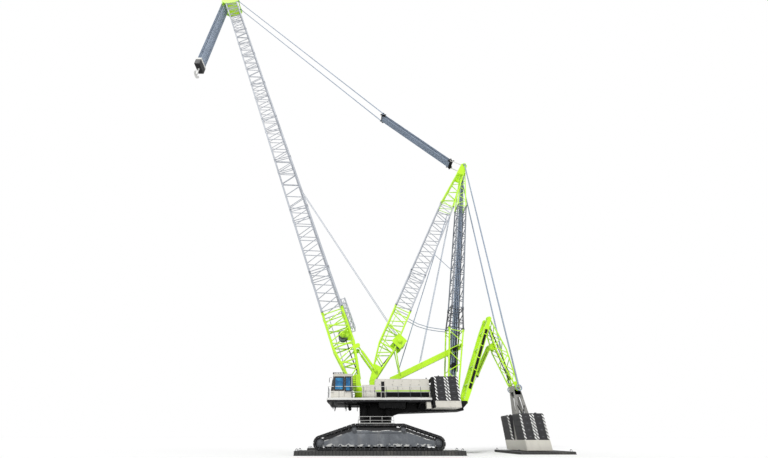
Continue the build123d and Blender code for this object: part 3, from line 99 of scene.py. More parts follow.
def noise(place, scale, detail=4.0, stretch=(1, 1, 1)):
    """Uneven patches between 0 and 1; stretch makes them longer or shorter along an axis."""
    tree = place.id_data
    if stretch != (1, 1, 1):
        place = put(tree, "Mapping", {"Vector": place, "Scale": stretch}).outputs["Vector"]
    return put(
        tree, "TexNoise", {"Vector": place, "Scale": scale, "Detail": detail, "Roughness": 0.6}
    ).outputs["Fac"]


def opaque(colour):
    """A colour with its alpha."""
    return (*colour, 1.0)


def axes(place, wanted):
    """The parts of a vector along the wanted axes."""
    split = put(place.id_data, "SeparateXYZ", {"Vector": place}).outputs
    return [split[axis] for axis in wanted]


def times(*values):
    """All the values multiplied; the first one or two come from sockets."""
    whole = values[0]
    for value in values[1:]:
        whole = calc("MULTIPLY", whole, value)
    return whole


def shade(made, **levels):
    """Sets the levels of a material's shader; each is a value or the socket that feeds it."""
    for key, value in levels.items():
        target = made.node_tree.nodes["Principled BSDF"].inputs[key.replace("_", " ")]
        if isinstance(value, bpy.types.NodeSocket):
            made.node_tree.links.new(value, target)
        else:
            target.default_value = value


def bumps(made, height, strength, distance):
    """Relief from a height between 0 and 1."""
    relief = put(made.node_tree, "Bump", {"Height": height, "Strength": strength, "Distance": distance})
    shade(made, Normal=relief.outputs["Normal"])


def finish(
    name, colour, dirt=(0.12, 0.11, 0.1), rough=0.45, metal=0.0, grime=0.35, grain=60.0, bump=0.0006,
    coat=0.0, shine=0.5,
):
    """A painted or cast surface: broad fading, dirt that runs down, fine grain in gloss and relief."""
    made = bpy.data.materials.new(name)
    made.use_nodes = True
    place = put(made.node_tree, "TexCoord").outputs["Object"]
    broad = noise(place, 2.5)
    runs = noise(place, 6.0, 5.0, (1.0, 1.0, 0.16))
    fine = noise(place, grain, 3.0)
    faded = mixed(fade(broad, 0.35, 0.75), opaque(colour), opaque(tuple(0.86 * part for part in colour)))
    soil = times(fade(runs, 0.5, 0.78), grime)
    specks = times(fade(fine, 0.62, 0.8), grime * 0.8)
    worn = calc("MAXIMUM", soil, specks)
    gloss = calc("ADD", times(worn, 0.3), calc("MULTIPLY_ADD", fine, 0.16, rough - 0.08))
    shade(made, Base_Color=mixed(worn, faded, opaque(dirt)), Roughness=gloss, Metallic=metal)
    shade(made, Coat_Weight=coat, Specular_IOR_Level=shine)
    bumps(made, fine, 0.5, bump)
    return made, place


def recolour(made, share, colour):
    """Paints a colour over a finish where share is 1."""
    before = made.node_tree.nodes["Principled BSDF"].inputs["Base Color"].links[0].from_socket
    shade(made, Base_Color=mixed(share, before, opaque(colour)))
    return made


OVER_DECK = 0.4795  # height above which the platform is lime at its front and rear
LIME, OLD_WHITE = (0.5, 0.86, 0.01), (0.62, 0.62, 0.6)
BLACK = dict(colour=(0.006, 0.006, 0.007), dirt=(0.03, 0.028, 0.026), rough=0.6, grime=0.35, shine=0.2)
lime = finish("lime_paint", LIME, dirt=(0.16, 0.24, 0.03), rough=0.34, grime=0.3, coat=0.2)[0]
panel_grey = finish("panel_grey", (0.6, 0.58, 0.52), dirt=(0.26, 0.25, 0.22), rough=0.42, grime=0.3)[0]
lattice_white = finish(
    "lattice_white", (0.42, 0.445, 0.49), dirt=(0.13, 0.14, 0.16), rough=0.4, grime=0.55, grain=35
)[0]
black_paint = finish("black_paint", **BLACK)[0]
track_steel = finish(
    "track_steel", (0.011, 0.011, 0.012), dirt=(0.09, 0.085, 0.08), rough=0.6, grime=0.5, bump=0.002,
    shine=0.25,
)[0]
dark_steel = finish(
    "dark_steel", (0.1, 0.105, 0.115), dirt=(0.03, 0.03, 0.03), rough=0.4, metal=0.6, grime=0.4
)[0]
chrome = finish(
    "chrome_rod", (0.75, 0.76, 0.78), dirt=(0.4, 0.4, 0.4), rough=0.16, metal=1.0, grime=0.15, bump=0.0001
)[0]
seat_cloth = finish("seat_cloth", (0.03, 0.03, 0.032), dirt=(0.06, 0.06, 0.06), rough=0.85, grain=400)[0]
panel_light = finish("panel_light", (0.66, 0.66, 0.64), dirt=(0.24, 0.24, 0.23), rough=0.4, grime=0.4)[0]
window_black = finish(
    "window_black", (0.012, 0.012, 0.014), dirt=(0.05, 0.05, 0.05), rough=0.22, grime=0.2, coat=0.3
)[0]
lamp_glass = finish(
    "lamp_glass", (0.75, 0.76, 0.74), dirt=(0.4, 0.4, 0.4), rough=0.12, grime=0.15, coat=0.5
)[0]
insert_grey = finish(
    "insert_grey", (0.15, 0.17, 0.2), dirt=(0.05, 0.055, 0.065), rough=0.4, grime=0.5, grain=35
)[0]
middle_dark = finish(
    "middle_dark", (0.055, 0.06, 0.07), dirt=(0.02, 0.02, 0.025), rough=0.45, grime=0.4, grain=35
)[0]
pylon_grey = finish(
    "pylon_grey", (0.27, 0.265, 0.25), dirt=(0.03, 0.03, 0.03), rough=0.5, grime=0.8, grain=25
)[0]
rail_white = finish("rail_white", OLD_WHITE, dirt=(0.2, 0.2, 0.2), rough=0.4, grime=0.35)[0]


def rope_finish():
    """Steel rope, with its strands as slanted lines."""
    made, place = finish(
        "rope_steel", (0.33, 0.4, 0.5), dirt=(0.13, 0.16, 0.21), rough=0.45, metal=0.3, grime=0.45,
        grain=120,
    )
    tree = made.node_tree
    lay = put(tree, "Mapping", {"Vector": place, "Rotation": (0.0, math.radians(38), 0.0)}).outputs["Vector"]
    strands = put(
        tree, "TexWave", {"Vector": lay, "Scale": 38.0, "Distortion": 0.6}, bands_direction="Z"
    ).outputs["Fac"]
    recolour(made, times(fade(strands, 0.62, 0.9), 0.55), (0.06, 0.08, 0.12))
    bumps(made, strands, 0.8, 0.0012)
    return made


def mat_finish():
    """Dark ground mats of beams laid across, with a seam at each."""
    made, place = finish(
        "mat_timber", (0.035, 0.034, 0.033), dirt=(0.13, 0.12, 0.105), rough=0.8, grime=0.6, grain=45,
        bump=0.003,
    )
    [across] = axes(place, "X")
    beam = calc("FRACT", times(across, 33.0))
    seam = calc("SUBTRACT", 1.0, fade(calc("PINGPONG", beam, 0.5), 0.02, 0.1))
    recolour(made, seam, (0.006, 0.006, 0.006))
    bumps(made, calc("SUBTRACT", 1.0, seam), 1.0, 0.004)
    return made


def platform_finish():
    """Black girders, with the boom's clevises and the mast's seat in lime over the deck."""
    made, place = finish("platform_paint", **BLACK)
    x, z = axes(place, "XZ")
    over_deck = times(calc("GREATER_THAN", z, OVER_DECK), calc("LESS_THAN", x, -0.05))
    seat = times(calc("GREATER_THAN", z, OVER_DECK), calc("GREATER_THAN", x, 0.75))
    return recolour(made, calc("MAXIMUM", over_deck, seat), LIME)


def side_frame_finish():
    """Grey side frames, worn and mottled by dust, with a broken white line along a ragged edge and painted
    shade above that edge, where the track's upper run shades the frame.
    """
    made, place = finish(
        "frame_grey", (0.105, 0.115, 0.13), dirt=(0.34, 0.33, 0.31), rough=0.5, grime=0.55, grain=28,
        bump=0.0015,
    )
    patches = noise(place, 9.0, 6.0, (1.0, 1.0, 1.6))
    recolour(made, times(fade(patches, 0.5, 0.75), 0.6), (0.23, 0.245, 0.265))
    x, z = axes(place, "XZ")
    reach = calc("ABSOLUTE", x)
    slope = times(calc("MAXIMUM", calc("SUBTRACT", reach, 0.235), 0.0), 0.3)
    under_edge = calc("SUBTRACT", calc("SUBTRACT", 0.218, slope), z)
    shade_edge = calc("MULTIPLY_ADD", patches, 0.03, calc("SUBTRACT", under_edge, 0.041))
    line = calc("LESS_THAN", calc("ABSOLUTE", shade_edge), 0.0028)
    recolour(made, times(line, fade(noise(place, 14.0), 0.46, 0.56)), OLD_WHITE)
    # painted shade: the frame above the ragged edge is near black, standing in for the shadow of the track's
    # upper run
    recolour(made, calc("LESS_THAN", shade_edge, -0.002), (0.016, 0.016, 0.018))
    low_dust = calc("LESS_THAN", z, calc("MULTIPLY_ADD", noise(place, 30.0), 0.045, 0.064))
    patchy = fade(noise(place, 22.0, 5.0), 0.48, 0.56)
    dusty = times(low_dust, patchy, calc("GREATER_THAN", z, 0.069), 0.8)
    recolour(made, dusty, (0.6, 0.6, 0.58))
    return made


def hook_block_finish():
    """Black hook block under a light cap."""
    made, place = finish(
        "hook_block_paint", (0.01, 0.01, 0.011), dirt=(0.04, 0.04, 0.04), rough=0.5, shine=0.25
    )
    [height] = axes(place, "Z")
    return recolour(made, calc("GREATER_THAN", height, 6.985), (0.62, 0.62, 0.59))


def banded_weight_finish(name, low, high, band, pitch):
    """Dark cast weights with slanted white bars down the upright edges of each stack."""
    made, place = finish(
        name, (0.03, 0.03, 0.033), dirt=(0.08, 0.078, 0.075), rough=0.6, grime=0.35, grain=90, bump=0.0012,
        shine=0.25,
    )
    x, y, z = axes(place, "XYZ")
    edges = None
    for start, end in zip(low, high):
        inside = calc("MINIMUM", calc("SUBTRACT", x, start), calc("SUBTRACT", end, x))
        close = times(calc("GREATER_THAN", inside, -0.002), calc("LESS_THAN", inside, band))
        edges = close if edges is None else calc("MAXIMUM", edges, close)
    slant = calc("FRACT", calc("DIVIDE", calc("ADD", calc("ADD", x, y), z), pitch))
    bars = calc("GREATER_THAN", slant, 0.52)
    across, up = axes(put(made.node_tree, "NewGeometry").outputs["Normal"], "YZ")
    upright = calc("LESS_THAN", calc("ABSOLUTE", up), 0.3)
    facing_side = calc("GREATER_THAN", calc("ABSOLUTE", across), 0.7)
    recolour(made, times(edges, bars, upright, facing_side, 0.95), (0.86, 0.86, 0.84))
    return made


def glass_finish():
    """Blue panes with a broken reflection of the sky."""
    made = bpy.data.materials.new("cab_glass")
    made.use_nodes = True
    sky = noise(put(made.node_tree, "TexCoord").outputs["Object"], 14.0, 3.0)
    blue = mixed(fade(sky, 0.35, 0.65), opaque((0.01, 0.1, 0.26)), opaque((0.03, 0.26, 0.52)))
    shade(made, Base_Color=blue, Roughness=0.06, Metallic=0.2, Alpha=0.82)
    return made


rope_steel, mat_timber = rope_finish(), mat_finish()
frame_grey, cab_glass = side_frame_finish(), glass_finish()
platform_paint, hook_block_paint = platform_finish(), hook_block_finish()


# -------------------- camera, light and floor
bpy.ops.object.select_all(action="DESELECT")
bpy.ops.object.camera_add(location=(-0.215, -4.2, 0.135), rotation=(math.radians(90 + 32.15), 0, 0))
camera = bpy.context.object
VIEW_WIDTH, LENS, SHIFT = 768, 332.5, 28  # the lens and its shift, against the width of the view
camera.data.sensor_width, camera.data.lens = 36.0, 36.0 * LENS / VIEW_WIDTH
camera.data.shift_x = SHIFT / VIEW_WIDTH
camera.data.clip_start, camera.data.clip_end = 0.05, 400
bpy.context.scene.camera = camera

bpy.ops.mesh.primitive_plane_add(size=160, location=(0, 0, 0))
floor = bpy.context.object
floor.name = "pale_floor"
floor_paint = bpy.data.materials.new("pale_floor")
floor_paint.use_nodes = True
shade(floor_paint, Base_Color=(0.93, 0.93, 0.93, 1), Roughness=0.9)
floor.data.materials.append(floor_paint)

world = bpy.data.worlds.new("studio")
bpy.context.scene.world = world
world.use_nodes = True
sky = world.node_tree
ray = put(sky, "LightPath")
seen = calc("MAXIMUM", ray.outputs["Is Camera Ray"], ray.outputs["Is Glossy Ray"])
seen = calc("MAXIMUM", seen, ray.outputs["Is Transmission Ray"])
sky.nodes["Background"].inputs["Color"].default_value = (1, 1, 1, 1)
sky.links.new(calc("MULTIPLY_ADD", seen, 0.45, 0.55), sky.nodes["Background"].inputs["Strength"])
for strength, angle, tip, turn in ((2.2, 12, 48, -28), (0.5, 40, 70, 70)):
    rotation = (math.radians(tip), 0, math.radians(turn))
    bpy.ops.object.light_add(type="SUN", location=(0, -8, 14), rotation=rotation)
    lamp = bpy.context.object
    lamp.data.energy, lamp.data.angle = strength, math.radians(angle)
bpy.context.scene.view_settings.view_transform = "Standard"


# -------------------- finishes of the CAD nodes
MARKS = (0.02, 0.032)  # width of the marked edge, and pitch of its bars
WEIGHT_STARTS, WEIGHT_ENDS = (0.6, 0.728), (0.722, 0.85)
counterweight_cast = banded_weight_finish("counterweight_cast", WEIGHT_STARTS, WEIGHT_ENDS, *MARKS)
ballast_cast = banded_weight_finish("ballast_cast", (1.476, 1.604), (1.6, 1.728), *MARKS)
FINISH_OF = (  # the first row whose words begin a node's name gives its finish
    (("ground_mats",), mat_timber),
    (("track_left", "track_right"), track_steel),
    (("track_frames",), frame_grey),
    (("hook_block",), hook_block_paint),
    (("hook", "mast_head_links"), panel_light),
    (("track_wheels", "hoist_winch", "boom_winch", "derrick_winch"), dark_steel),
    (("slewing_platform",), platform_paint),
    (("carbody", "slewing", "side_decks", "upper_luffing", "lower_luffing"), black_paint),
    (("rear_mast_middle",), middle_dark),
    (("rear_mast_insert",), insert_grey),
    (("counterweights",), counterweight_cast),
    (("ballast_weights",), ballast_cast),
    (("ballast_pylon",), pylon_grey),
    (
        ("cab", "engine_house", "tank_house", "control_cabinets", "counterweight_trays", "ballast"),
        panel_grey,
    ),
    (("operator_seat",), seat_cloth),
    (("boom_pendants", "backstay", "luffing_ropes", "hoist_ropes"), rope_steel),
    (("boom_short_insert", "boom_insert", "boom_tip", "derrick_short", "derrick_long"), lattice_white),
    (("v_cylinder_rod",), chrome),
    (("",), lime),
)
for name, node in nodes.items():
    coat = next(paint for words, paint in FINISH_OF if name.startswith(words))
    node.data.materials.clear()
    node.data.materials.append(coat)


# -------------------- ways of making the pieces
def alone(piece=None):
    """Nothing is selected but this piece, which becomes the active one."""
    bpy.ops.object.select_all(action="DESELECT")
    if piece is not None:
        piece.select_set(True)
        bpy.context.view_layer.objects.active = piece


def settled(piece, name):
    """The piece that was just added, named, with its place moved into its mesh."""
    piece.name = name
    alone(piece)
    bpy.ops.object.transform_apply(location=True, rotation=True, scale=True)
    return piece


def block(name, low, high):
    """A box between two corners; each pair of values may come in either order."""
    alone()
    low, high = ([choose(pair) for pair in zip(low, high)] for choose in (min, max))
    centre = [(a + b) / 2 for a, b in zip(low, high)]
    bpy.ops.mesh.primitive_cube_add(size=1, location=centre, scale=[b - a for a, b in zip(low, high)])
    return settled(bpy.context.object, name)


def rod(name, start, end, radius, sides=10):
    """A straight round bar from start to end."""
    start, end = Vector(start), Vector(end)
    alone()
    turn = (end - start).to_track_quat("Z", "Y").to_euler()
    bpy.ops.mesh.primitive_cylinder_add(
        vertices=sides, radius=radius, depth=(end - start).length, location=(start + end) / 2, rotation=turn
    )
    return settled(bpy.context.object, name)


def hoop(name, middle, radius, thickness, sides, tube_sides):
    """A round bar bent to a circle about an axis along Y."""
    alone()
    bpy.ops.mesh.primitive_torus_add(
        location=middle,
        rotation=(math.radians(90), 0, 0),
        major_radius=radius,
        minor_radius=thickness,
        major_segments=sides,
        minor_segments=tube_sides,
    )
    return settled(bpy.context.object, name)


def joined(name, parts):
    """The parts as one piece."""
    alone()
    for part in parts:
        part.select_set(True)
    bpy.context.view_layer.objects.active = parts[0]
    bpy.ops.object.join()
    parts[0].name = name
    return parts[0]


def about(point, turn, axis):
    """A turn about a point."""
    point = Vector(point)
    return Matrix.Translation(point) @ Matrix.Rotation(turn, 4, axis) @ Matrix.Translation(-point)


def repeated(piece, moves):
    """The piece and a copy of it at each further move, each with its own mesh, joined into one."""
    twins = [piece]
    for move in moves:
        twin = piece.copy()
        twin.data = piece.data.copy()
        twin.data.transform(move if isinstance(move, Matrix) else Matrix.Translation(move))
        bpy.context.scene.collection.objects.link(twin)
        twins.append(twin)
    return joined(piece.name, twins)


def in_row(piece, step, count):
    """The piece and more like it in a row, each one step on from the last."""
    return repeated(piece, [tuple(number * part for part in step) for number in range(1, count)])


def softened(piece, width, segments=2, angle=35):
    """Rounds the sharp edges by a small width."""
    alone(piece)
    bpy.ops.object.modifier_add(type="BEVEL")
    edges = piece.modifiers[-1]
    edges.width, edges.segments = width, segments
    edges.limit_method, edges.angle_limit = "ANGLE", math.radians(angle)
    bpy.ops.object.modifier_apply(modifier=edges.name)
    return piece


UPRIGHT = 0.9  # a face looks along an axis when that part of its normal is larger


def enter_edit():
    bpy.ops.object.mode_set(mode="EDIT")


def leave_edit():
    bpy.ops.object.mode_set(mode="OBJECT")


def top_faces(centre, normal):
    return normal.z > UPRIGHT


def under_faces(centre, normal):
    return normal.z < -UPRIGHT


def side_faces(centre, normal):
    return abs(normal.y) > UPRIGHT


def every_face(centre, normal):
    return True


def facing(way):
    """Chooses the faces that look along Y, to the right where way is 1 and to the left where it is -1."""
    return lambda centre, normal: normal.y * way > UPRIGHT


def pick_faces(piece, wanted):
    """Goes into edit mode with just the wanted faces selected, by their centre and normal."""
    alone(piece)
    enter_edit()
    bpy.ops.mesh.select_mode(type="FACE")
    bpy.ops.mesh.select_all(action="DESELECT")
    leave_edit()
    for face in piece.data.polygons:
        face.select = wanted(face.center, face.normal)
    enter_edit()


def pull(way):
    """Extrudes the picked faces."""
    bpy.ops.mesh.extrude_region_move(TRANSFORM_OT_translate={"value": way})


def moved(piece, wanted, way):
    """Moves the wanted faces of a piece."""
    pick_faces(piece, wanted)
    bpy.ops.transform.translate(value=way)
    leave_edit()
    return piece


def resized(piece, wanted, scale, **middle):
    """Makes the wanted faces of a piece larger or smaller."""
    pick_faces(piece, wanted)
    bpy.ops.transform.resize(value=scale, **middle)
    leave_edit()
    return piece


def sunk(piece, wanted, border, depth):
    """Insets the wanted faces by a border and moves them in by a depth (out where it is negative)."""
    pick_faces(piece, wanted)
    bpy.ops.mesh.inset(thickness=border)
    bpy.ops.mesh.inset(thickness=min(abs(depth), border) * 0.25, depth=-depth)
    leave_edit()
    return piece


def fitted(piece, body, paint, slot=None):
    """Gives a finished piece its paint and its body."""
    piece.data.materials.clear()
    piece.data.materials.append(paint)
    alone(piece)
    bpy.ops.object.shade_smooth_by_angle(angle=math.radians(32))
    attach(piece, body)
    return piece


# what many pieces are given: the body, the finish and the slot
DECK_BLACK = ("superstructure", black_paint, "black_paint")
DECK_STEEL = ("superstructure", dark_steel, "black_paint")
DECK_GREY = ("superstructure", panel_grey, "grey_paint")
DECK_LIME = ("superstructure", lime, "lime_paint")
CAB_BLACK = ("superstructure", window_black, "black_paint")
MAST_ROPE = ("superstructure", rope_steel, "rope_steel")
GROUND_STEEL = ("undercarriage", dark_steel, "frame_grey")


def group(name, parts, body, paint, slot=None):
    """The parts as one finished piece."""
    return fitted(joined(name, parts), body, paint, slot)


def sheet(name, low, high, faces, border, depth, edge=0.0006):
    """A flat box with one face pressed in inside a border, and its edges rounded."""
    return softened(sunk(block(name, low, high), faces, border, depth), edge, 1)


def plain_box(name, low, high, edge=0.0012):
    """A box with its edges rounded."""
    return softened(block(name, low, high), edge, 1)


def line_of(points, radius, name, resolution=3):
    """A bent tube through the points, as a mesh."""
    curve = bpy.data.curves.new(name, "CURVE")
    curve.dimensions, curve.use_fill_caps = "3D", True
    curve.bevel_depth, curve.bevel_resolution = radius, resolution
    spline = curve.splines.new("POLY")
    spline.points.add(len(points) - 1)
    for knot, point in zip(spline.points, points):
        knot.co = (*point, 1.0)
    piece = bpy.data.objects.new(name, curve)
    bpy.context.scene.collection.objects.link(piece)
    alone(piece)
    bpy.ops.object.convert(target="MESH")
    return piece


def member(foot, tip):
    """Places on an inclined member: so far behind its axis, across it, and up from its foot."""
    foot, tip = Vector((foot[0], 0, foot[1])), Vector((tip[0], 0, tip[1]))
    up = (tip - foot).normalized()
    behind = Vector((up.z, 0, -up.x))
    return lambda depth, across, level: foot + behind * depth + Vector((0, across, 0)) + up * level


boom_foot = joints["boom_luff"]["pos_m"]
BOOM_RISE = math.radians(70.3)
boom = member(
    (boom_foot[0], boom_foot[2]), (boom_foot[0] - math.cos(BOOM_RISE), boom_foot[2] + math.sin(BOOM_RISE))
)
derrick = member((-0.025, 0.7), (1.575, 3.96))
rear_mast = member((0.855, 0.5), (1.575, 3.96))
upper_block, lower_block = (1.384, 4.081), (0.295, 5.251)
stay = member(upper_block, lower_block)
STAY_LENGTH = math.dist(upper_block, lower_block)


# -------------------- ropes
def reeved_rope(name, start, end, radius, steps):
    """One fall of a reeved rope, as a tube in a given number of straight lengths."""
    start, end = Vector(start), Vector(end)
    alone()
    turn = (end - start).to_track_quat("Z", "Y").to_euler()
    bpy.ops.mesh.primitive_circle_add(
        vertices=8, radius=radius, fill_type="NGON", location=start, rotation=turn
    )
    rope = settled(bpy.context.object, name)
    pick_faces(rope, every_face)
    for _ in range(steps):
        pull((end - start) / steps)
    bpy.ops.mesh.select_all(action="SELECT")
    bpy.ops.mesh.normals_make_consistent(inside=False)
    leave_edit()
    return rope


def rope_bundle(name, node, fall, shifts, start, end):
    """All the falls between two blocks, joined into one piece that takes the place of the node's ropes."""
    bundle = repeated(fall, shifts)
    bundle.name = name
    bundle.data.materials.append(rope_steel)
    alone(bundle)
    bpy.ops.object.shade_smooth_by_angle(angle=math.radians(60))
    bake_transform(bundle)
    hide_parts(node)
    return bundle


ROPE_RADIUS, ROPE_STEPS, ROPE_GRIP = 0.0042, 24, 0.02  # grip: a length in from each block
LUFF_LANES, LUFF_PITCH, LUFF_EDGE, SIDE_STEP = 11, 0.012, -0.06, 0.0285
HOIST_LANES, HOIST_PITCH, HOIST_EDGE = 17, 0.013, 0.0022
first = stay(-SIDE_STEP, LUFF_EDGE, 0.0)
falls = [
    stay(side * SIDE_STEP, LUFF_EDGE + lane * LUFF_PITCH, 0.0) - first
    for side in (-1, 1)
    for lane in range(LUFF_LANES)
][1:]
rope_bundle(
    "luffing_rope_falls", "luffing_ropes",
    reeved_rope("luffing_fall", first, stay(-SIDE_STEP, LUFF_EDGE, STAY_LENGTH), ROPE_RADIUS, ROPE_STEPS),
    falls, stay(0, 0, ROPE_GRIP), stay(0, 0, STAY_LENGTH - ROPE_GRIP),
)
rope_low, rope_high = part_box("hoist_ropes")
first = Vector((rope_low.x + HOIST_EDGE, rope_low.y + HOIST_EDGE, rope_high.z))
column_step = rope_high.x - rope_low.x - 2 * HOIST_EDGE
falls = [
    Vector((column * column_step, lane * HOIST_PITCH, 0)) for column in (0, 1) for lane in range(HOIST_LANES)
][1:]
rope_bundle(
    "hoist_rope_falls", "hoist_ropes",
    reeved_rope("hoist_fall", first, (first.x, first.y, rope_low.z), ROPE_RADIUS, ROPE_STEPS), falls,
    (first.x, 0, rope_high.z - ROPE_GRIP), (first.x, 0, rope_low.z + ROPE_GRIP),
)


# -------------------- undercarriage
SIDES = ((-1, "left"), (1, "right"))
MAT_TOP, TRACK_MIDDLE, SHOE_EDGE = 0.035, 0.475, 0.09
BELT_WHEELS = ((-0.55, 0.095, 0.06), (0.55, 0.095, 0.06), (0.232, 0.201, 0.05), (-0.232, 0.201, 0.05))


def belt_places(count, inside):
    """Places along the track loop, so far inside its outer face: a point and the turn of the belt there."""
    runs = []
    for (x, z, radius), (next_x, next_z, next_radius) in zip(BELT_WHEELS, BELT_WHEELS[1:] + BELT_WHEELS[:1]):
        way = math.atan2(next_z - z, next_x - x) + math.asin(
            (radius - next_radius) / math.dist((x, z), (next_x, next_z))
        )
        runs.append((x, z, radius - inside, way, next_x, next_z, next_radius - inside))
    pieces = []
    for before, (x, z, radius, way, next_x, next_z, next_radius) in zip(runs[-1:] + runs[:-1], runs):
        turn = (way - before[3]) % math.tau
        pieces.append(
            (
                radius * turn, lambda s, x=x, z=z, r=radius,
                a=before[3]: (x + r * math.sin(a + s / r), z - r * math.cos(a + s / r), a + s / r),
            )
        )
        start = (x + radius * math.sin(way), z - radius * math.cos(way))
        end = (next_x + next_radius * math.sin(way), next_z - next_radius * math.cos(way))
        pieces.append(
            (
                math.dist(start, end), lambda s, p=start,
                a=way: (p[0] + s * math.cos(a), p[1] + s * math.sin(a), a),
            )
        )
    whole = sum(length for length, place in pieces)
    spots = []
    for number in range(count):
        along = whole * number / count
        for length, place in pieces:
            if along <= length:
                spots.append(place(along))
                break
            along -= length
    return spots


def around_belt(piece, spots):
    """Copies a piece that is made at the first spot to all the others."""
    x, z, turn = spots[0]
    home = (Matrix.Translation((x, 0, z)) @ Matrix.Rotation(-turn, 4, "Y")).inverted()
    return repeated(
        piece,
        [Matrix.Translation((x, 0, z)) @ Matrix.Rotation(-turn, 4, "Y") @ home for x, z, turn in spots[1:]],
    )


pin_spots, tooth_spots = belt_places(60, 0.0145), belt_places(60, 0.024)
for side, word in SIDES:
    heads = []
    for reach in (-SHOE_EDGE, SHOE_EDGE):
        x, z, turn = pin_spots[0]
        face, out = side * TRACK_MIDDLE + reach, 1 if reach > 0 else -1
        head = rod("pin_head", (x, face - out * 0.0005, z), (x, face + out * 0.003, z), 0.0042, 8)
        sunk(head, facing(out), 0.0012, -0.0012)
        heads.append(around_belt(head, pin_spots))
    group("track_pin_heads_" + word, heads, "undercarriage", dark_steel, "track_steel")
    x, z, turn = tooth_spots[0]
    middle = side * TRACK_MIDDLE
    tooth = block(
        "guide_tooth", (x - 0.008, middle - 0.016, z - 0.003), (x + 0.008, middle + 0.016, z + 0.004)
    )
    resized(tooth, top_faces, (0.55, 0.7, 1.0))
    fitted(
        around_belt(tooth, tooth_spots), "undercarriage", track_steel, "track_steel"
    ).name = "track_guide_teeth_" + word

for side, word in SIDES:
    outer = side * (TRACK_MIDDLE + 0.06)
    covers = []
    for x, z, radius in (
        (0.55, 0.095, 0.034), (-0.55, 0.095, 0.034), (0.232, 0.201, 0.024), (-0.232, 0.201, 0.024)
    ):
        cover = rod("end_wheel_cover", (x, outer, z), (x, outer + side * 0.012, z), radius, 28)
        sunk(cover, facing(side), radius * 0.3, -0.006)
        softened(cover, 0.0015)
        bolts = rod(
            "cover_bolt", (x + radius * 0.84, outer, z), (x + radius * 0.84, outer + side * 0.015, z),
            0.0028, 6,
        )
        turns = [about((x, 0, z), math.radians(45 * k), "Y") for k in range(1, 8)]
        covers += [cover, repeated(bolts, turns)]
    group("end_wheel_covers_" + word, covers, *GROUND_STEEL)
    cap = rod("roller_cap", (-0.432, outer, 0.0725), (-0.432, outer + side * 0.009, 0.0725), 0.011, 16)
    sunk(cap, facing(side), 0.004, 0.003)
    softened(cap, 0.001, 1)
    fitted(in_row(cap, (0.072, 0, 0), 13), *GROUND_STEEL).name = "roller_caps_" + word
    # a shelf along the top of the side frame, and the edge strips of its outer plate
    shelf = plain_box(
        "frame_shelf", (-0.205, outer - side * 0.001, 0.176), (0.205, outer + side * 0.007, 0.181), 0.001
    )
    rib = block("frame_rib", (-0.003, outer, 0.086), (0.003, outer + side * 0.005, 0.177))
    moved(rib, top_faces, (0, -side * 0.002, 0))
    ribs = repeated(rib, [(x, 0, 0) for x in (-0.19, -0.095, 0.095, 0.19)])
    group("side_frame_ribs_" + word, [shelf, ribs], "undercarriage", frame_grey, "frame_grey")

# the deck of the carbody with its railings, and the bolted flange of the slewing ring
DECK_RIM, RAIL_LOW, RAIL_HIGH = 0.251, 0.284, 0.318
rails = []
for side in (-1, 1):
    y = side * 0.352
    rails.append(
        line_of(
            [
                (-0.19, y, DECK_RIM), (-0.19, y, RAIL_HIGH - 0.006), (-0.184, y, RAIL_HIGH),
                (0.159, y, RAIL_HIGH), (0.165, y, RAIL_HIGH - 0.006), (0.165, y, DECK_RIM),
            ],
            0.0024, "carbody_rail",
        )
    )
    rails.append(rod("carbody_rail", (-0.19, y, RAIL_LOW), (0.165, y, RAIL_LOW), 0.002, 10))
    post = rod("carbody_post", (-0.072, y, DECK_RIM), (-0.072, y, RAIL_HIGH), 0.0022, 10)
    foot = plain_box(
        "post_foot", (-0.078, y - 0.006, DECK_RIM), (-0.066, y + 0.006, DECK_RIM + 0.003), 0.0008
    )
    rails.append(repeated(joined("carbody_post", [post, foot]), [(0.119, 0, 0)]))
    toe = block(
        "carbody_toe_board", (-0.196, y - 0.0015, DECK_RIM - 0.001), (0.171, y + 0.0015, DECK_RIM + 0.012)
    )
    rails.append(softened(toe, 0.0006, 1))
group("carbody_railings", rails, "undercarriage", rail_white, "grey_paint")
flange = rod("ring_flange", (0, 0, DECK_RIM - 0.001), (0, 0, DECK_RIM + 0.011), 0.187, 72)
sunk(flange, top_faces, 0.013, -0.004)
softened(flange, 0.0015)
stud = rod("ring_stud", (0.1805, 0, DECK_RIM + 0.009), (0.1805, 0, DECK_RIM + 0.016), 0.004, 6)
nut = rod("ring_stud", (0.1805, 0, DECK_RIM + 0.015), (0.1805, 0, DECK_RIM + 0.019), 0.0022, 8)
studs = repeated(
    joined("ring_stud", [stud, nut]), [Matrix.Rotation(math.tau * k / 48, 4, "Z") for k in range(1, 48)]
)
group("slewing_ring_flange", [flange, studs], *GROUND_STEEL)
plates = []
for side in (-1, 1):
    middle = side * 0.372
    tread = block("carbody_step", (-0.03, middle - 0.014, 0.196), (0.03, middle + 0.014, 0.2))
    sunk(tread, top_faces, 0.004, 0.0015)
    plates.append(repeated(tread, [(0, 0, 0.022), (0, 0, 0.044)]))
    for x in (-0.034, 0.034):
        low, high = (x - 0.002, middle - 0.016, 0.18), (x + 0.002, middle + 0.012, 0.252)
        plates.append(plain_box("step_cheek", low, high, 0.0008))
group("carbody_steps", plates, "undercarriage", dark_steel, "black_paint")

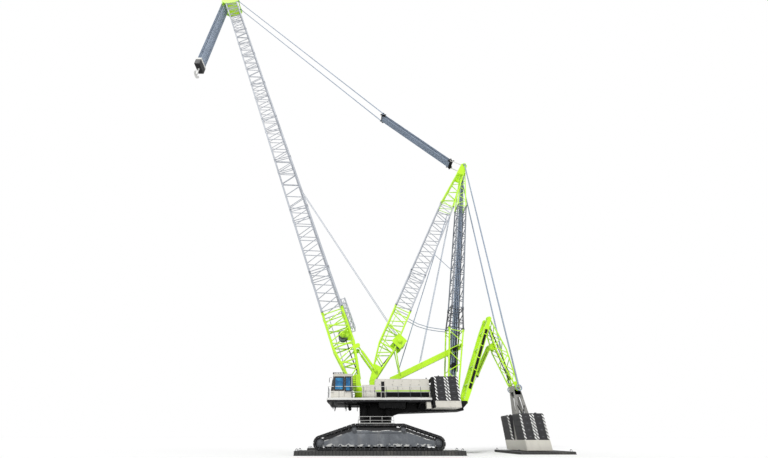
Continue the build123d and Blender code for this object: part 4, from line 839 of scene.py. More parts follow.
# mats: steel edge straps and lifting eyes
straps = []
for x_low, x_high, y_low, y_high, top in (
    (-0.77, 0.77, -0.63, -0.32, MAT_TOP),
    (-0.77, 0.77, 0.32, 0.63, MAT_TOP),
    (1.362, 1.902, -0.35, 0.35, 0.022),
):
    for x, inward in ((x_low, 1), (x_high, -1)):
        low, high = (x, y_low + 0.01, top - 0.0005), (x + inward * 0.03, y_high - 0.01, top + 0.002)
        strap = plain_box("mat_strap", low, high, 0.0007)
        middle = (x + inward * 0.016, y_low + 0.05, top + 0.004)
        eye = hoop("mat_eye", middle, 0.01, 0.0022, 20, 8)
        resized(eye, lambda centre, normal: centre.z > top + 0.004, (1, 1, 1.25), center_override=middle)
        pick_faces(eye, lambda centre, normal: centre.z < 0.002)
        bpy.ops.mesh.delete(type="FACE")
        leave_edit()
        straps += [strap, repeated(eye, [(0, y_high - y_low - 0.1, 0)])]
group("mat_end_straps", straps, "undercarriage", dark_steel, "mat_timber")


# -------------------- decks
DECK_TOP, DECK_BASE, DECK_FRONT, DECK_REAR, DECK_EDGE = 0.478, 0.448, -0.512, 0.564, 0.392
EDGING_LOW, EDGING_HIGH = 0.465, 0.4845
RAIL_TOP, RAIL_MID, RAIL_TUBE = 0.59, 0.538, 0.0026
POST_SPOTS = (-0.506, -0.39, -0.26, -0.135, -0.02, 0.1, 0.22, 0.345, 0.455, 0.558)


def handrail(points, radius=RAIL_TUBE):
    """A bent top rail with a thinner one under it."""
    top = [(x, y, RAIL_TOP) for x, y in points]
    return [
        line_of(top, radius, "handrail"),
        line_of([(x, y, RAIL_MID) for x, y in points], radius * 0.85, "handrail"),
    ]


def posts(spots, foot, radius=RAIL_TUBE):
    """Rail posts with their shoes, at the given places."""
    x, y = spots[0]
    post = rod("rail_post", (x, y, foot), (x, y, RAIL_TOP), radius, 10)
    shoe = plain_box(
        "post_shoe", (x - 0.007, y - 0.003, foot + 0.004), (x + 0.007, y + 0.003, foot + 0.024), 0.0008
    )
    return repeated(
        joined("rail_post", [post, shoe]), [(other[0] - x, other[1] - y, 0) for other in spots[1:]]
    )


edging, rails, uprights = [], [], []
for side in (-1, 1):
    y = side * DECK_EDGE
    board = block("deck_edging", (DECK_FRONT, y, EDGING_LOW), (DECK_REAR, y + side * 0.0035, EDGING_HIGH))
    alone(board)
    enter_edit()
    for x in (-0.39, -0.26, -0.135, -0.02, 0.1, 0.22, 0.345, 0.455):
        bpy.ops.mesh.select_all(action="SELECT")
        bpy.ops.mesh.bisect(plane_co=(x, 0, 0), plane_no=(1, 0, 0))
    leave_edit()
    sunk(board, facing(side), 0.0016, -0.001)
    edging.append(board)
    inner_y = side * 0.152
    edging.append(
        plain_box(
            "front_edging", (DECK_FRONT - 0.0035, inner_y, EDGING_LOW),
            (DECK_FRONT, y + side * 0.0035, EDGING_HIGH),
        )
    )
    rail_y = side * (DECK_EDGE - 0.001)
    corner_x = DECK_FRONT + 0.004
    rails += handrail(
        [
            (corner_x, side * 0.165), (corner_x, rail_y - side * 0.012),
            (corner_x + 0.004, rail_y - side * 0.003), (corner_x + 0.014, rail_y), (0.558, rail_y),
        ]
    )
    uprights.append(
        posts(
            [(x, rail_y) for x in POST_SPOTS[1:]] + [
                (corner_x, side * 0.165), (corner_x, side * 0.28), (corner_x + 0.006, rail_y - side * 0.005)
            ],
            DECK_BASE + 0.008,
        )
    )
group("deck_edgings", edging, "superstructure", panel_light, "grey_paint")
group("deck_railings", rails, "superstructure", rail_white, "grey_paint")
group("deck_rail_posts", uprights, *DECK_STEEL)

grating = []
for side in (-1, 1):
    near, far = side * 0.352, side * 0.388
    slat = plain_box(
        "grating_bar", (-0.5, near, DECK_TOP - 0.0005), (-0.4985, far, DECK_TOP + 0.003), 0.0004
    )
    grating.append(in_row(slat, (0.0094, 0, 0), 113))
    for y in (near, far, (near + far) / 2):
        grating.append(
            plain_box(
                "grating_edge", (-0.502, y - 0.0008, DECK_TOP - 0.0005),
                (0.556, y + 0.0008, DECK_TOP + 0.0034), 0.0004,
            )
        )
group("walkway_gratings", grating, *DECK_STEEL)

brackets = []
for side in (-1, 1):
    wedge = block("deck_bracket", (-0.463, side * 0.148, 0.4485), (-0.457, side * 0.38, DECK_BASE + 0.002))
    pick_faces(wedge, under_faces)
    pull((0, 0, -0.052))
    bpy.ops.transform.resize(value=(1, 0.12, 1), center_override=(-0.46, side * 0.15, 0.4))
    leave_edit()
    softened(wedge, 0.0008, 1)
    brackets.append(repeated(wedge, [(x, 0, 0) for x in (0.13, 0.26, 0.39, 0.52, 0.65, 0.78, 0.91)]))
group("deck_brackets", brackets, *DECK_BLACK)

# drives of the slewing gear, boxes and small gear under the platform
under = []
for x, y in ((-0.12, -0.176), (-0.12, 0.176), (0.12, -0.176), (0.12, 0.176)):
    drive = rod("slewing_drive", (x, y, 0.3), (x, y, 0.42), 0.026, 24)
    pick_faces(drive, under_faces)
    bpy.ops.mesh.inset(thickness=0.006)
    pull((0, 0, -0.014))
    leave_edit()
    softened(drive, 0.0015)
    collar = softened(rod("drive_collar", (x, y, 0.328), (x, y, 0.338), 0.034, 24), 0.001, 1)
    under += [drive, collar]
group("slewing_drives", under, *DECK_BLACK)
gear = []
wheel = rod("guide_roller", (-0.285, -0.15, 0.418), (-0.285, -0.12, 0.418), 0.019, 24)
sunk(wheel, side_faces, 0.006, 0.004)
cheeks = [
    plain_box("roller_cheek", (-0.3, y - 0.0025, 0.414), (-0.27, y + 0.0025, 0.448))
    for y in (-0.154, -0.116)
]
gear.append(joined("guide_roller", [softened(wheel, 0.001, 1)] + cheeks))
gear.append(repeated(gear.pop(), [(0, 0.27, 0)]))
for side in (-1, 1):
    tank = block("underdeck_tank", (0.02, side * 0.17, 0.392), (0.3, side * 0.35, 0.449))
    resized(tank, under_faces, (0.94, 0.9, 1))
    gear.append(softened(tank, 0.006, 3))
    for x in (0.075, 0.16, 0.245):
        gear.append(
            plain_box(
                "tank_strap", (x - 0.005, side * 0.168, 0.3905), (x + 0.005, side * 0.352, 0.4485), 0.001
            )
        )
group("underdeck_tanks", gear, *DECK_BLACK)
boxes = []
for side in (-1, 1):
    low, high = (0.506, side * 0.3, 0.388), (0.55, side * 0.386, 0.448)
    boxes.append(sheet("battery_case", low, high, facing(side), 0.005, 0.0015, 0.0012))
group("battery_cases", boxes, *DECK_GREY)


# -------------------- cab
CAB_ROOF = 0.704


def edges_of(piece):
    """Goes into edit mode, picking edges, with none picked."""
    alone(piece)
    enter_edit()
    bpy.ops.mesh.select_mode(type="EDGE")
    bpy.ops.mesh.select_all(action="DESELECT")


def frame_and_pane(name, x_low, x_high, z_low, z_high, y, out, border, radius):
    """A dark rounded window frame with its pane, on an upright face; out is the way it faces along Y."""
    rim = block(name, (x_low, y, z_low), (x_high, y + out * 0.0022, z_high))
    edges_of(rim)
    leave_edit()
    for edge in rim.data.edges:
        a, b = (rim.data.vertices[k].co for k in edge.vertices)
        edge.select = abs(a.x - b.x) < 1e-5 and abs(a.z - b.z) < 1e-5
    enter_edit()
    bpy.ops.mesh.bevel(offset=radius, segments=5)
    leave_edit()
    pick_faces(rim, side_faces)
    bpy.ops.mesh.inset(thickness=border)
    bpy.ops.mesh.delete(type="FACE")
    leave_edit()
    edges_of(rim)
    bpy.ops.mesh.select_non_manifold()
    bpy.ops.mesh.bridge_edge_loops()
    bpy.ops.mesh.select_all(action="SELECT")
    bpy.ops.mesh.normals_make_consistent(inside=False)
    leave_edit()
    lap = border * 0.9
    pane = block(
        name + "_pane", (x_low + lap, y - out * 0.0012, z_low + lap),
        (x_high - lap, y + out * 0.0008, z_high - lap),
    )
    softened(pane, 0.0004, 1)
    return softened(rim, 0.0004, 1), pane


for name, body, corners, y, out, border, radius in (
    ("door", "cab_door", (-0.4455, -0.3365, 0.548, 0.687), -0.392, -1, 0.015, 0.012),
    ("side", "superstructure", (-0.3345, -0.263, 0.54, 0.69), -0.385, -1, 0.0145, 0.01),
    ("inner", "superstructure", (-0.448, -0.27, 0.556, 0.688), -0.23, 1, 0.01, 0.01),
):
    rim, pane = frame_and_pane(name + "_window_frame", *corners, y, out, border, radius)
    fitted(rim, body, window_black, "black_paint")
    fitted(pane, body, cab_glass).name = name + "_pane"

SCREEN_FOOT, SCREEN_LEAN = 0.544, 0.026 / 0.16


def leaning(piece, low, high):
    """Leans an upright piece back with the windscreen."""
    moved(piece, every_face, (SCREEN_LEAN * (low - SCREEN_FOOT), 0, 0))
    moved(piece, top_faces, (SCREEN_LEAN * (high - low), 0, 0))
    return piece


screen = leaning(
    block("windscreen_pane", (-0.4772, -0.3725, 0.551), (-0.4752, -0.2425, 0.688)), 0.551, 0.688
)
fitted(softened(screen, 0.0004, 1), "superstructure", cab_glass)
surround = []
for y_low, y_high, z_low, z_high in (
    (-0.384, -0.371, 0.546, 0.694),
    (-0.244, -0.231, 0.546, 0.694),
    (-0.372, -0.243, 0.546, 0.556),
    (-0.372, -0.243, 0.684, 0.694),
):
    bar = block("screen_frame", (-0.4795, y_low, z_low), (-0.477, y_high, z_high))
    surround.append(softened(leaning(bar, z_low, z_high), 0.0008, 1))
group("windscreen_frame", surround, *CAB_BLACK)
wiper = [
    line_of([(-0.48, -0.308, 0.552), (-0.472, -0.335, 0.628)], 0.0012, "wiper_arm"),
    line_of([(-0.4755, -0.33, 0.59), (-0.467, -0.341, 0.662)], 0.0016, "wiper_blade"),
    softened(rod("wiper_hub", (-0.4795, -0.308, 0.551), (-0.4835, -0.308, 0.55), 0.004, 12), 0.0006, 1),
]
group("windscreen_wiper", wiper, *DECK_BLACK)

roof = block("cab_roof_cap", (-0.456, -0.389, CAB_ROOF - 0.001), (-0.254, -0.2265, CAB_ROOF + 0.008))
sunk(roof, top_faces, 0.012, -0.003)
fitted(softened(roof, 0.002), *DECK_GREY)
rack = []
for y in (-0.376, -0.308, -0.24):
    rack.append(
        line_of(
            [
                (-0.458, y, 0.706), (-0.458, y, 0.722), (-0.452, y, 0.726), (-0.352, y, 0.726),
                (-0.346, y, 0.722), (-0.346, y, 0.71),
            ],
            0.0022, "roof_guard",
        )
    )
bar = rod("roof_guard", (-0.458, -0.38, 0.7195), (-0.458, -0.236, 0.7195), 0.0022, 10)
rack.append(repeated(bar, [(0.026, 0, 0.0065), (0.053, 0, 0.0065), (0.079, 0, 0.0065), (0.106, 0, 0.0065)]))
group("cab_roof_guard", rack, *DECK_BLACK)
LAMP_STEPS = [(0, 0.036, 0), (0, 0.078, 0), (0, 0.114, 0)]
lamp_body = rod("work_lamp", (-0.462, -0.365, 0.719), (-0.448, -0.365, 0.722), 0.0095, 18)
sunk(lamp_body, lambda centre, normal: normal.x < -UPRIGHT, 0.0018, 0.003)
lamps = repeated(softened(lamp_body, 0.0008, 1), LAMP_STEPS)
fitted(lamps, *DECK_BLACK).name = "cab_work_lamps"
lens = rod("lamp_lens", (-0.46, -0.365, 0.7194), (-0.4585, -0.365, 0.7197), 0.0075, 18)
sunk(lens, lambda centre, normal: normal.x < -UPRIGHT, 0.0015, -0.0006)
fitted(repeated(lens, LAMP_STEPS), "superstructure", lamp_glass).name = "cab_lamp_lenses"
mirror = block("cab_mirror", (-0.496, -0.408, 0.628), (-0.4915, -0.388, 0.668))
softened(mirror, 0.0016)
sunk(mirror, lambda centre, normal: normal.x > UPRIGHT, 0.0018, 0.0008)
arm = line_of(
    [(-0.467, -0.384, 0.672), (-0.48, -0.392, 0.676), (-0.4935, -0.398, 0.672), (-0.4935, -0.398, 0.662)],
    0.0014, "mirror_arm",
)
group("cab_mirror", [mirror, arm], *DECK_BLACK)
handle = line_of(
    [(-0.352, -0.3925, 0.56), (-0.352, -0.3975, 0.562), (-0.352, -0.3975, 0.588), (-0.352, -0.3925, 0.59)],
    0.0014, "door_handle",
)
fitted(handle, "cab_door", black_paint, "black_paint")
panel = sheet("door_panel", (-0.44, -0.3936, 0.4975), (-0.342, -0.3915, 0.547), facing(-1), 0.004, 0.0008)
fitted(panel, "cab_door", panel_grey, "grey_paint")
step = []
for z in (0.4805, 0.4925):
    step.append(plain_box("cab_step", (-0.43, -0.3905, z - 0.0005), (-0.35, -0.3865, z + 0.001), 0.0004))
grab = line_of(
    [(-0.256, -0.3868, 0.52), (-0.2525, -0.3905, 0.526), (-0.2525, -0.3905, 0.66), (-0.256, -0.3868, 0.666)],
    0.0016, "cab_grab_rail",
)
group("cab_grab_rail", [grab] + step, *DECK_STEEL)
corner_strip = leaning(
    block("cab_corner_strip", (-0.4765, -0.3868, 0.55), (-0.448, -0.3845, 0.693)), 0.55, 0.693
)
fitted(softened(corner_strip, 0.0008, 1), *CAB_BLACK)
ladder = [
    plain_box("ladder_rail", (x - 0.0015, -0.336, DECK_TOP), (x + 0.0015, -0.33, 0.712), 0.0005)
    for x in (-0.25, -0.218)
]
rung = rod("ladder_rung", (-0.25, -0.333, 0.496), (-0.218, -0.333, 0.496), 0.0022, 8)
ladder.append(in_row(rung, (0, 0, 0.0215), 10))
group("cab_roof_ladder", ladder, *DECK_BLACK)
pillar = block("cab_rear_pillar", (-0.262, -0.3868, 0.48), (-0.2555, -0.3845, 0.703))
fitted(softened(pillar, 0.0006, 1), *DECK_GREY)


# -------------------- houses and cabinets
HOUSE_OUTER, HOUSE_INNER, HOUSE_ROOF = 0.35, 0.19, 0.665
HOUSE_PANELS = (  # from and to along the house
    (-0.011, 0.047),
    (0.089, 0.178),
    (0.1805, 0.272),
    (0.2745, 0.366),
    (0.3685, 0.46),
    (0.4625, 0.556),
)
panels, dark, stripes = [], [], []
for side in (-1, 1):
    face = side * HOUSE_OUTER
    far, z_low, z_high = face + side * 0.002, 0.56, 0.662
    for x_low, x_high in HOUSE_PANELS:
        panels.append(
            sheet("house_panel", (x_low, face, z_low), (x_high, far, z_high), facing(side), 0.0045, 0.0007)
        )
        latch = plain_box(
            "panel_latch", (x_high - 0.012, face, 0.606), (x_high - 0.008, face + side * 0.0036, 0.616),
            0.0006,
        )
        hinge = rod(
            "panel_hinge", (x_low + 0.0015, face + side * 0.0022, 0.572),
            (x_low + 0.0015, face + side * 0.0022, 0.58), 0.0014, 8,
        )
        dark += [latch, repeated(softened(hinge, 0.0003, 1), [(0, 0, 0.07)])]
    for x_low, x_high in ((-0.148, -0.106), (-0.104, -0.061), (-0.059, -0.015)):
        panels.append(
            sheet("cabinet_door", (x_low, face, 0.485), (x_high, far, 0.604), facing(side), 0.0035, 0.0007)
        )
        dark.append(
            plain_box(
                "cabinet_latch", (x_high - 0.009, face, 0.545),
                (x_high - 0.006, face + side * 0.0036, 0.555), 0.0006,
            )
        )
    stripes.append(
        plain_box(
            "house_stripe", (-0.0115, face - side * 0.001, 0.547), (0.048, face + side * 0.0026, 0.557),
            0.0006,
        )
    )
    stripes.append(
        plain_box(
            "house_stripe", (0.088, face - side * 0.001, 0.547), (0.5565, face + side * 0.0026, 0.557),
            0.0006,
        )
    )
    # the service door in its recess, and the slats of the louvre band
    inset, outset = face - side * 0.006, face - side * 0.002
    dark.append(
        sheet("service_door", (0.0515, inset, 0.486), (0.0845, outset, 0.656), facing(side), 0.003, 0.001)
    )
    back = plain_box(
        "louvre_back", (-0.002, face - side * 0.0056, 0.4945), (0.048, face - side * 0.0044, 0.5435), 0.0002
    )
    back_long = plain_box(
        "louvre_back", (0.088, face - side * 0.0056, 0.4945), (0.5475, face - side * 0.0044, 0.5435), 0.0002
    )
    dark += [back, back_long]
    for x_low, x_high in ((-0.002, 0.048), (0.088, 0.5475)):
        slat = block("louvre_slat", (x_low, face - side * 0.0046, 0.4975), (x_high, face, 0.499))
        moved(slat, facing(-side), (0, 0, 0.0028))
        dark.append(in_row(slat, (0, 0, 0.0062), 8))
    mullion = plain_box(
        "louvre_post", (0.134, face - side * 0.005, 0.4945), (0.1372, face + side * 0.0008, 0.5435), 0.0004
    )
    dark.append(in_row(mullion, (0.046, 0, 0), 9))
group("house_side_panels", panels, *DECK_GREY)
group("house_louvres_and_latches", dark, *DECK_BLACK)
group("house_stripes", stripes, *DECK_LIME)

roof_gear = []
for side in (-1, 1):
    low_y, high_y = side * (HOUSE_INNER + 0.004), side * (HOUSE_OUTER - 0.004)
    for x_low, x_high in ((-0.008, 0.125), (0.129, 0.27), (0.274, 0.415), (0.419, 0.553)):
        low, high = (x_low, low_y, HOUSE_ROOF - 0.0005), (x_high, high_y, HOUSE_ROOF + 0.003)
        roof_gear.append(sheet("house_lid", low, high, top_faces, 0.01, -0.0015, 0.0008))
    low, high = (-0.147, low_y, 0.6075), (-0.016, high_y, 0.6108)
    roof_gear.append(sheet("cabinet_lid", low, high, top_faces, 0.01, -0.0015, 0.0008))
    low_y, high_y = side * (HOUSE_INNER - 0.0018), side * (HOUSE_INNER + 0.0005)
    for x_low, x_high in ((-0.008, 0.13), (0.134, 0.27), (0.274, 0.41), (0.414, 0.553)):
        low, high = (x_low, low_y, 0.486), (x_high, high_y, 0.658)
        roof_gear.append(sheet("house_inner_panel", low, high, facing(-side), 0.006, 0.0007))
group("house_lids", roof_gear, *DECK_GREY)
fittings = []
pipe = line_of(
    [(0.33, 0.3, HOUSE_ROOF), (0.33, 0.3, 0.735), (0.334, 0.3, 0.745), (0.345, 0.3, 0.752)], 0.0095,
    "exhaust_pipe", 4,
)
sleeve = rod("exhaust_jacket", (0.33, 0.3, HOUSE_ROOF), (0.33, 0.3, 0.708), 0.015, 24)
sunk(sleeve, top_faces, 0.004, 0.004)
fittings += [pipe, softened(sleeve, 0.001, 1)]
fittings.append(repeated(joined("exhaust_pipe", [fittings.pop(), fittings.pop()]), [(0.075, 0, 0)]))
intake = rod("air_intake", (0.12, 0.29, HOUSE_ROOF), (0.12, 0.29, 0.7), 0.013, 24)
pick_faces(intake, top_faces)
pull((0, 0, 0.004))
bpy.ops.transform.resize(value=(1.75, 1.75, 1))
pull((0, 0, 0.012))
pull((0, 0, 0.008))
bpy.ops.transform.resize(value=(0.45, 0.45, 1))
leave_edit()
fittings.append(softened(intake, 0.0012))
eyes = []
for x in (0.01, 0.536):
    for y in (-0.334, -0.206, 0.206, 0.334):
        lug = block("lifting_eye", (x - 0.009, y - 0.0022, HOUSE_ROOF), (x + 0.009, y + 0.0022, 0.683))
        resized(lug, top_faces, (0.4, 1, 1))
        sunk(lug, side_faces, 0.0035, 0.0012)
        eyes.append(softened(lug, 0.0006, 1))
group("house_roof_fittings", fittings + eyes, *DECK_STEEL)


# -------------------- counterweights
frames = []
for side in (-1, 1):
    post = block("weight_guide", (0.568, side * 0.352, 0.394), (0.596, side * 0.42, 0.68))
    moved(post, top_faces, (0.004, 0, 0))
    softened(post, 0.01, 4)
    sunk(post, facing(side), 0.004, 0.002)
    frames.append(post)
    frames.append(
        plain_box("weight_guide_beam", (0.5665, side * 0.24, 0.64), (0.59, side * 0.356, 0.668), 0.003)
    )
    frames.append(
        plain_box("weight_guide_beam", (0.5665, side * 0.152, 0.44), (0.59, side * 0.356, 0.462), 0.003)
    )
group("weight_guides", frames, *DECK_BLACK)


def weight_lug(name, x, y, foot, top):
    """A short hollow lug on top of a stack of weights."""
    lug = sunk(rod(name, (x, y, foot), (x, y, top), 0.0115, 20), top_faces, 0.003, 0.0035)
    return softened(lug, 0.0008, 1)


lugs = []
for low_x in WEIGHT_STARTS:
    for y in (-0.375, -0.28, 0.28, 0.375):
        lugs.append(weight_lug("weight_lug", low_x + 0.061, y, 0.682, 0.692))
        cap = rod("weight_pin", (low_x + 0.061, y, 0.683), (low_x + 0.061, y, 0.6955), 0.0045, 12)
        pick_faces(cap, top_faces)
        pull((0, 0, 0.003))
        bpy.ops.transform.resize(value=(1.5, 1.5, 1))
        leave_edit()
        lugs.append(cap)
for side in (-1, 1):
    for low_x in WEIGHT_STARTS:
        bracket = plain_box(
            "slab_grip", (low_x + 0.05, side * 0.4195, 0.477), (low_x + 0.072, side * 0.4225, 0.485), 0.001
        )
        lugs.append(in_row(bracket, (0, 0, 0.0575), 4))
group("counterweight_lugs", lugs, "superstructure", dark_steel, "charcoal_cast")
trays = []
for side in (-1, 1):
    face = side * 0.42
    for x_low, x_high in ((0.59, 0.722), (0.726, 0.848)):
        low, high = (x_low, face, 0.397), (x_high, face + side * 0.002, 0.451)
        trays.append(sheet("tray_plate", low, high, facing(side), 0.005, 0.0008))
    bolt = softened(
        rod("tray_bolt", (0.603, face, 0.4045), (0.603, face + side * 0.0042, 0.4045), 0.003, 6), 0.0005, 1
    )
    trays.append(
        repeated(
            bolt,
            [(dx, 0, dz) for dx in (0.0, 0.053, 0.106, 0.137, 0.184, 0.231) for dz in (0.0, 0.039)][1:],
        )
    )
group("counterweight_tray_plates", trays, *DECK_GREY)


# -------------------- masts and booms: pins, cage, winches
def joint_pins(name, place, corners, body):
    """Headed pins across the chord joints; corners are (behind the axis, across, level)."""
    depth, reach, level = corners[0]
    centre = place(depth, reach, level)
    pin = rod("joint_pin", centre - Vector((0, 0.02, 0)), centre + Vector((0, 0.02, 0)), 0.0055, 10)
    sunk(pin, side_faces, 0.0014, 0.0008)
    softened(pin, 0.0006, 1, 50)
    head = rod("joint_pin", centre - Vector((0, 0.0235, 0)), centre - Vector((0, 0.0195, 0)), 0.0085, 12)
    softened(head, 0.0008, 1, 50)
    whole = repeated(joined(name, [pin, head]), [place(*corner) - centre for corner in corners[1:]])
    whole.name = name
    return fitted(whole, body, dark_steel, "frame_grey")


BOOM_JOINTS = [0.993, 1.573] + [1.573 + 1.075 * number for number in range(1, 8)] + [9.39]
joint_pins(
    "boom_joint_pins", boom,
    [(depth, y, level) for level in BOOM_JOINTS for depth in (-0.128, 0.128) for y in (-0.15, 0.15)], "boom",
)
joint_pins(
    "derrick_joint_pins", derrick,
    [(depth, y, level) for level in (0.923, 1.463, 2.72) for depth in (-0.098, 0.098) for y in (-0.1, 0.1)],
    "superstructure",
)
joint_pins(
    "rear_mast_joint_pins", rear_mast,
    [
        (side * depth, y, level)
        for level, depth in ((0.79, 0.084), (1.06, 0.068), (2.69, 0.062))
        for side in (-1, 1)
        for y in (-0.1, 0.1)
    ],
    "superstructure",
)

# cage over the winch on the back of the boom base
cage = []
for depth, y in ((0.152, -0.085), (0.152, 0.085), (0.205, -0.085), (0.205, 0.085)):
    cage.append(rod("cage_tube", boom(depth, y, 0.7), boom(depth, y, 1.11), 0.0056, 10))
loop = line_of(
    [
        boom(0.12, -0.085, 0.705), boom(0.205, -0.085, 0.705), boom(0.205, 0.085, 0.705),
        boom(0.12, 0.085, 0.705),
    ],
    0.0048, "cage_hoop",
)
cage.append(repeated(loop, [boom(0, 0, 0.066 * k) - boom(0, 0, 0) for k in range(1, 7)]))
brace = rod("cage_brace", boom(0.152, -0.085, 0.705), boom(0.205, -0.085, 0.771), 0.004, 8)
cage.append(
    repeated(brace, [boom(0, y, 0.066 * k) - boom(0, 0, 0) for k in range(6) for y in (0, 0.17) if k or y])
)
group("boom_base_cage", cage, "boom", lattice_white, "white_lattice")


BOOM_WINCH, DERRICK_WINCH, HOIST_WINCH = (0.03, 0.67), (0.118, 0.52), (0.41, 0.56)
WINDING_PITCH, WINDING_RADIUS = 0.007, 0.0036


def rope_windings(name, place, axle, reach, radius, body):
    """Turns of rope on a drum, side by side."""
    depth, level = axle  # behind the member's axis, and up from its foot
    start = place(depth, -reach, level)
    turn = hoop(name, start, radius, WINDING_RADIUS, 32, 6)
    resized(turn, every_face, (1, 0.96, 1), center_override=start)
    whole = in_row(turn, (0, WINDING_PITCH, 0), int(2 * reach / WINDING_PITCH) + 1)
    whole.name = name
    return fitted(whole, body, rope_steel, "rope_steel")


rope_windings("boom_winch_windings", boom, BOOM_WINCH, 0.066, 0.043, "boom_winch")
rope_windings("derrick_winch_windings", derrick, DERRICK_WINCH, 0.066, 0.037, "derrick_winch")
rope_windings(
    "hoist_winch_windings", lambda depth, y, level: Vector((depth, y, level)), HOIST_WINCH, 0.118, 0.0495,
    "hoist_winch",
)


def winch_motors(name, place, axle, reach, radius, body):
    """Stepped motor and gearbox housings outside the winch's side plates."""
    depth, level = axle
    housings = []
    for out in (-1, 1):
        near, far = place(depth, out * reach, level), place(depth, out * (reach + 0.03), level)
        case = rod("winch_motor", near, far, radius, 24)
        pick_faces(case, facing(out))
        bpy.ops.mesh.inset(thickness=radius * 0.28)
        pull((0, out * 0.016, 0))
        bpy.ops.mesh.inset(thickness=radius * 0.22)
        pull((0, out * 0.01, 0))
        leave_edit()
        housings.append(softened(case, 0.0016))
        bolt = rod(
            "motor_bolt", near + Vector((radius * 0.86, 0, 0)),
            far + Vector((radius * 0.86, out * 0.003, 0)), 0.0024, 6,
        )
        housings.append(repeated(bolt, [about(near, math.tau * k / 10, "Y") for k in range(1, 10)]))
    return group(name, housings, body, lime, "black_paint")


winch_motors("boom_winch_motors", boom, BOOM_WINCH, 0.094, 0.036, "boom")
winch_motors("derrick_winch_motors", derrick, DERRICK_WINCH, 0.094, 0.034, "superstructure")

# guard and valve block of the derrick's winch, on its rear chords
machinery = []
for y in (-0.124, 0.124):
    centre = derrick(0.112, y, 0.52)
    plate = rod("winch_guard", centre - Vector((0, 0.003, 0)), centre + Vector((0, 0.003, 0)), 0.094, 4)
    sunk(plate, side_faces, 0.012, 0.0015)
    machinery.append(softened(plate, 0.0012, 1))
tie = rod("guard_tie", derrick(0.185, -0.124, 0.52), derrick(0.185, 0.124, 0.52), 0.0045, 10)
machinery.append(
    repeated(
        tie,
        [
            derrick(depth, 0, level) - derrick(0.185, 0, 0.52)
            for depth, level in ((0.165, 0.572), (0.165, 0.468))
        ],
    )
)
group("derrick_winch_guard", machinery, *DECK_LIME)

# hoses along the boom base and the derrick base
hoses = []
for y in (-0.062, -0.052, -0.042, 0.046, 0.056):
    hoses.append(
        line_of(
            [
                boom(0.02, y, 0.1), boom(0.06, y, 0.24), boom(0.05, y * 0.9, 0.42), boom(0.052, y, 0.6),
                boom(0.04, y * 1.2, 0.64),
            ],
            0.003, "winch_hose",
        )
    )
group("boom_base_hoses", hoses, "boom", black_paint, "black_paint")
hoses = []
for y in (-0.05, -0.04, 0.04, 0.05):
    hoses.append(
        line_of(
            [
                derrick(0.01, y, 0.09), derrick(0.035, y, 0.2), derrick(0.072, y * 1.1, 0.33),
                derrick(0.095, y * 1.3, 0.445),
            ],
            0.003, "winch_hose",
        )
    )
group("derrick_base_hoses", hoses, *DECK_BLACK)


def ladder(name, place, depth, y, low, high, pitch, body, paint, slot):
    """Two rails with rungs between them, along a mast's base."""
    rails = rod("ladder_rail", place(depth, y - 0.022, low), place(depth, y - 0.022, high), 0.004, 8)
    rails = repeated(rails, [(0, 0.044, 0)])
    rung = rod(
        "ladder_rung", place(depth, y - 0.022, low + 0.02), place(depth, y + 0.022, low + 0.02), 0.0032, 8
    )
    count = int((high - low - 0.03) / pitch)
    rungs = repeated(rung, [place(0, 0, pitch * k) - place(0, 0, 0) for k in range(1, count + 1)])
    return group(name, [rails, rungs], body, paint, slot)


ladder("boom_base_ladder", boom, -0.062, 0.03, 0.2, 0.96, 0.034, "boom", lattice_white, "white_lattice")
ladder("derrick_base_ladder", derrick, -0.052, 0.02, 0.2, 0.89, 0.034, *DECK_LIME)

# rope drums and hoses inside the rear mast's base
inner_gear = []
for level, radius in ((0.36, 0.03), (0.56, 0.026)):
    drum = rod("rope_drum", rear_mast(0.0, -0.07, level), rear_mast(0.0, 0.07, level), radius, 20)
    sunk(drum, side_faces, 0.006, 0.006)
    inner_gear.append(softened(drum, 0.0012, 1))
for depth, y in ((-0.05, -0.062), (-0.036, 0.06), (0.044, -0.058), (0.052, 0.062), (0.02, -0.07)):
    inner_gear.append(
        line_of(
            [rear_mast(depth, y, 0.3), rear_mast(depth * 0.8, y * 0.9, 0.52), rear_mast(depth, y, 0.77)],
            0.005, "mast_hose",
        )
    )
group("rear_mast_drums_and_hoses", inner_gear, *DECK_BLACK)


# -------------------- ropes on the masts
mast_ropes = []
for depth in (-0.02, 0.004, 0.028):
    rope = reeved_rope(
        "mast_rope", rear_mast(depth, -0.036, 0.26), rear_mast(depth * 0.6, -0.03, 3.44), ROPE_RADIUS, 1
    )
    mast_ropes.append(in_row(rope, (0, 0.012, 0), 7))
group("rear_mast_ropes", mast_ropes, *MAST_ROPE)
guys = []
for y in (-0.045, 0.045):
    guys.append(reeved_rope("mast_guy", (1.18, y, 3.028), (0.278, y, 0.791), 0.0034, 1))
    guys.append(reeved_rope("mast_guy", (1.226, y, 3.028), (0.548, y, 0.902), 0.0034, 1))
guys.append(reeved_rope("mast_tie", (0.908, 0.0, 2.338), (1.107, 0.0, 2.104), ROPE_RADIUS, 1))
for y in (-0.05, 0.05):
    guys.append(
        line_of(
            [(0.447, y, 1.407), (0.56, y, 1.342), (0.69, y, 1.3), (0.82, y, 1.279), (0.936, y, 1.268)],
            0.0044, "mast_hose",
        )
    )
group("mast_guy_ropes", guys, *MAST_ROPE)
for name, y in (("derrick_rope_left", -0.03), ("derrick_rope_right", 0.03)):
    start, end = boom(0.128, y, 3.1), derrick(0.15, y, 0.54)
    rope = reeved_rope(name, start, end, 0.003, 20)
    rope.data.materials.append(rope_steel)
    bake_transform(rope)


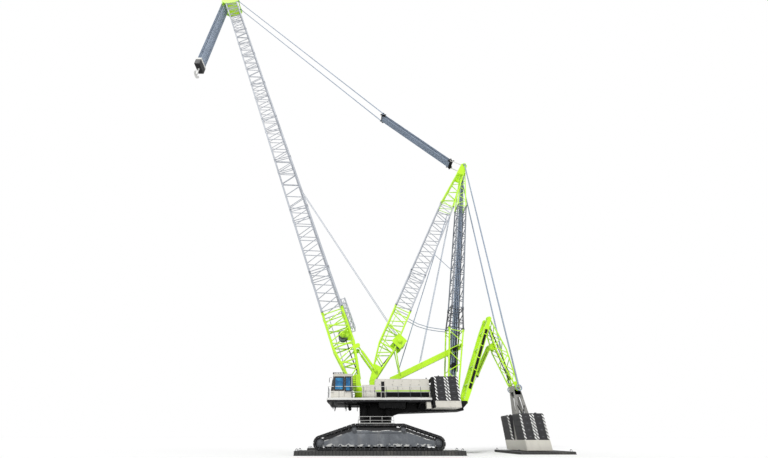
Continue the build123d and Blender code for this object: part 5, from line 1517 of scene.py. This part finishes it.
# -------------------- V-frame and cylinder
v_inner = member((0.986, 0.468), (1.444, 1.394))
v_outer = member((1.444, 1.394), (1.602, 0.612))
hoses, clips = [], []
for y in (-0.1225, 0.1225):
    for depth in (-0.0095, 0.0, 0.0095):
        hoses.append(
            line_of(
                [v_inner(depth, y, 0.15), v_inner(depth, y, 0.5), v_inner(depth, y, 0.88)], 0.0045,
                "arm_hose",
            )
        )
    clip = rod("hose_clip", v_inner(-0.019, y, 0.215), v_inner(0.019, y, 0.215), 0.0075, 8)
    clips.append(repeated(clip, [v_inner(0, 0, 0.15 * k) - v_inner(0, 0, 0) for k in range(1, 5)]))
group("v_frame_hoses", hoses, "v_inner", black_paint, "black_paint")
group("v_frame_hose_clips", clips, "v_inner", lime, "lime_paint")
hoses = []
for depth, y in ((0.016, -0.044), (0.03, -0.02), (0.016, 0.044), (0.03, 0.02)):
    hoses.append(
        line_of(
            [v_outer(depth * 0.4, y, 0.08), v_outer(depth, y, 0.36), v_outer(depth * 0.3, y, 0.7)], 0.0048,
            "arm_hose",
        )
    )
group("outer_arm_hoses", hoses, "v_outer", black_paint, "black_paint")
eye, foot = Vector((1.395, 0, 1.062)), Vector((1.032, 0, 0.52))
along = (foot - eye).normalized()
gland = rod("cylinder_gland", eye + along * 0.356, eye + along * 0.378, 0.029, 28)
pick_faces(gland, lambda centre, normal: normal.dot(along) > UPRIGHT)
bpy.ops.mesh.inset(thickness=0.008)
bpy.ops.transform.translate(value=along * 0.005)
leave_edit()
softened(gland, 0.0012)
port = rod(
    "cylinder_port", eye + along * 0.33 + Vector((0, -0.022, 0)),
    eye + along * 0.33 + Vector((0, -0.034, 0)), 0.007, 14,
)
softened(port, 0.001, 1)
feed = line_of(
    [
        eye + along * 0.33 + Vector((0, -0.033, 0)), eye + along * 0.3 + Vector((0, -0.037, 0)),
        eye + along * 0.08 + Vector((0, -0.035, 0)), eye + along * 0.06 + Vector((0, -0.024, 0)),
    ],
    0.0032, "cylinder_feed",
)
group("cylinder_gland_and_feed", [gland, port, feed], "v_cylinder_barrel", black_paint, "black_paint")


# -------------------- hanging ballast
gear = []
for x in (1.539, 1.667):
    for y in (-0.215, -0.12, 0.12, 0.215):
        gear.append(weight_lug("ballast_lug", x, y, 0.35, 0.361))
for side in (-1, 1):
    grip = plain_box("slab_grip", (1.529, side * 0.2592, 0.142), (1.549, side * 0.2622, 0.15), 0.001)
    gear.append(repeated(grip, [(dx, 0, 0.0585 * k) for dx in (0, 0.128) for k in range(4) if dx or k]))
group("ballast_lugs", gear, "ballast", dark_steel, "charcoal_cast")
plates = []
for side in (-1, 1):
    for x_low, x_high in ((1.479, 1.599), (1.605, 1.725)):
        low, high = (x_low, side * 0.26, 0.032), (x_high, side * 0.262, 0.114)
        plates.append(sheet("ballast_tray_plate", low, high, facing(side), 0.007, 0.0008))
group("ballast_tray_plates", plates, "ballast", panel_grey, "grey_paint")
knot = block("pylon_block", (1.5665, -0.06, 0.545), (1.6375, 0.06, 0.599))
sunk(knot, lambda centre, normal: abs(normal.x) > UPRIGHT, 0.01, 0.004)
softened(knot, 0.003)
bars = []
for y in (-0.062, 0.062):
    bars.append(rod("pylon_brace", (1.52, y, 0.16), (1.64, y, 0.44), 0.0045, 10))
    bars.append(rod("pylon_brace", (1.684, y, 0.16), (1.564, y, 0.44), 0.0045, 10))
group("pylon_block_and_braces", [knot] + bars, "ballast", black_paint, "black_paint")
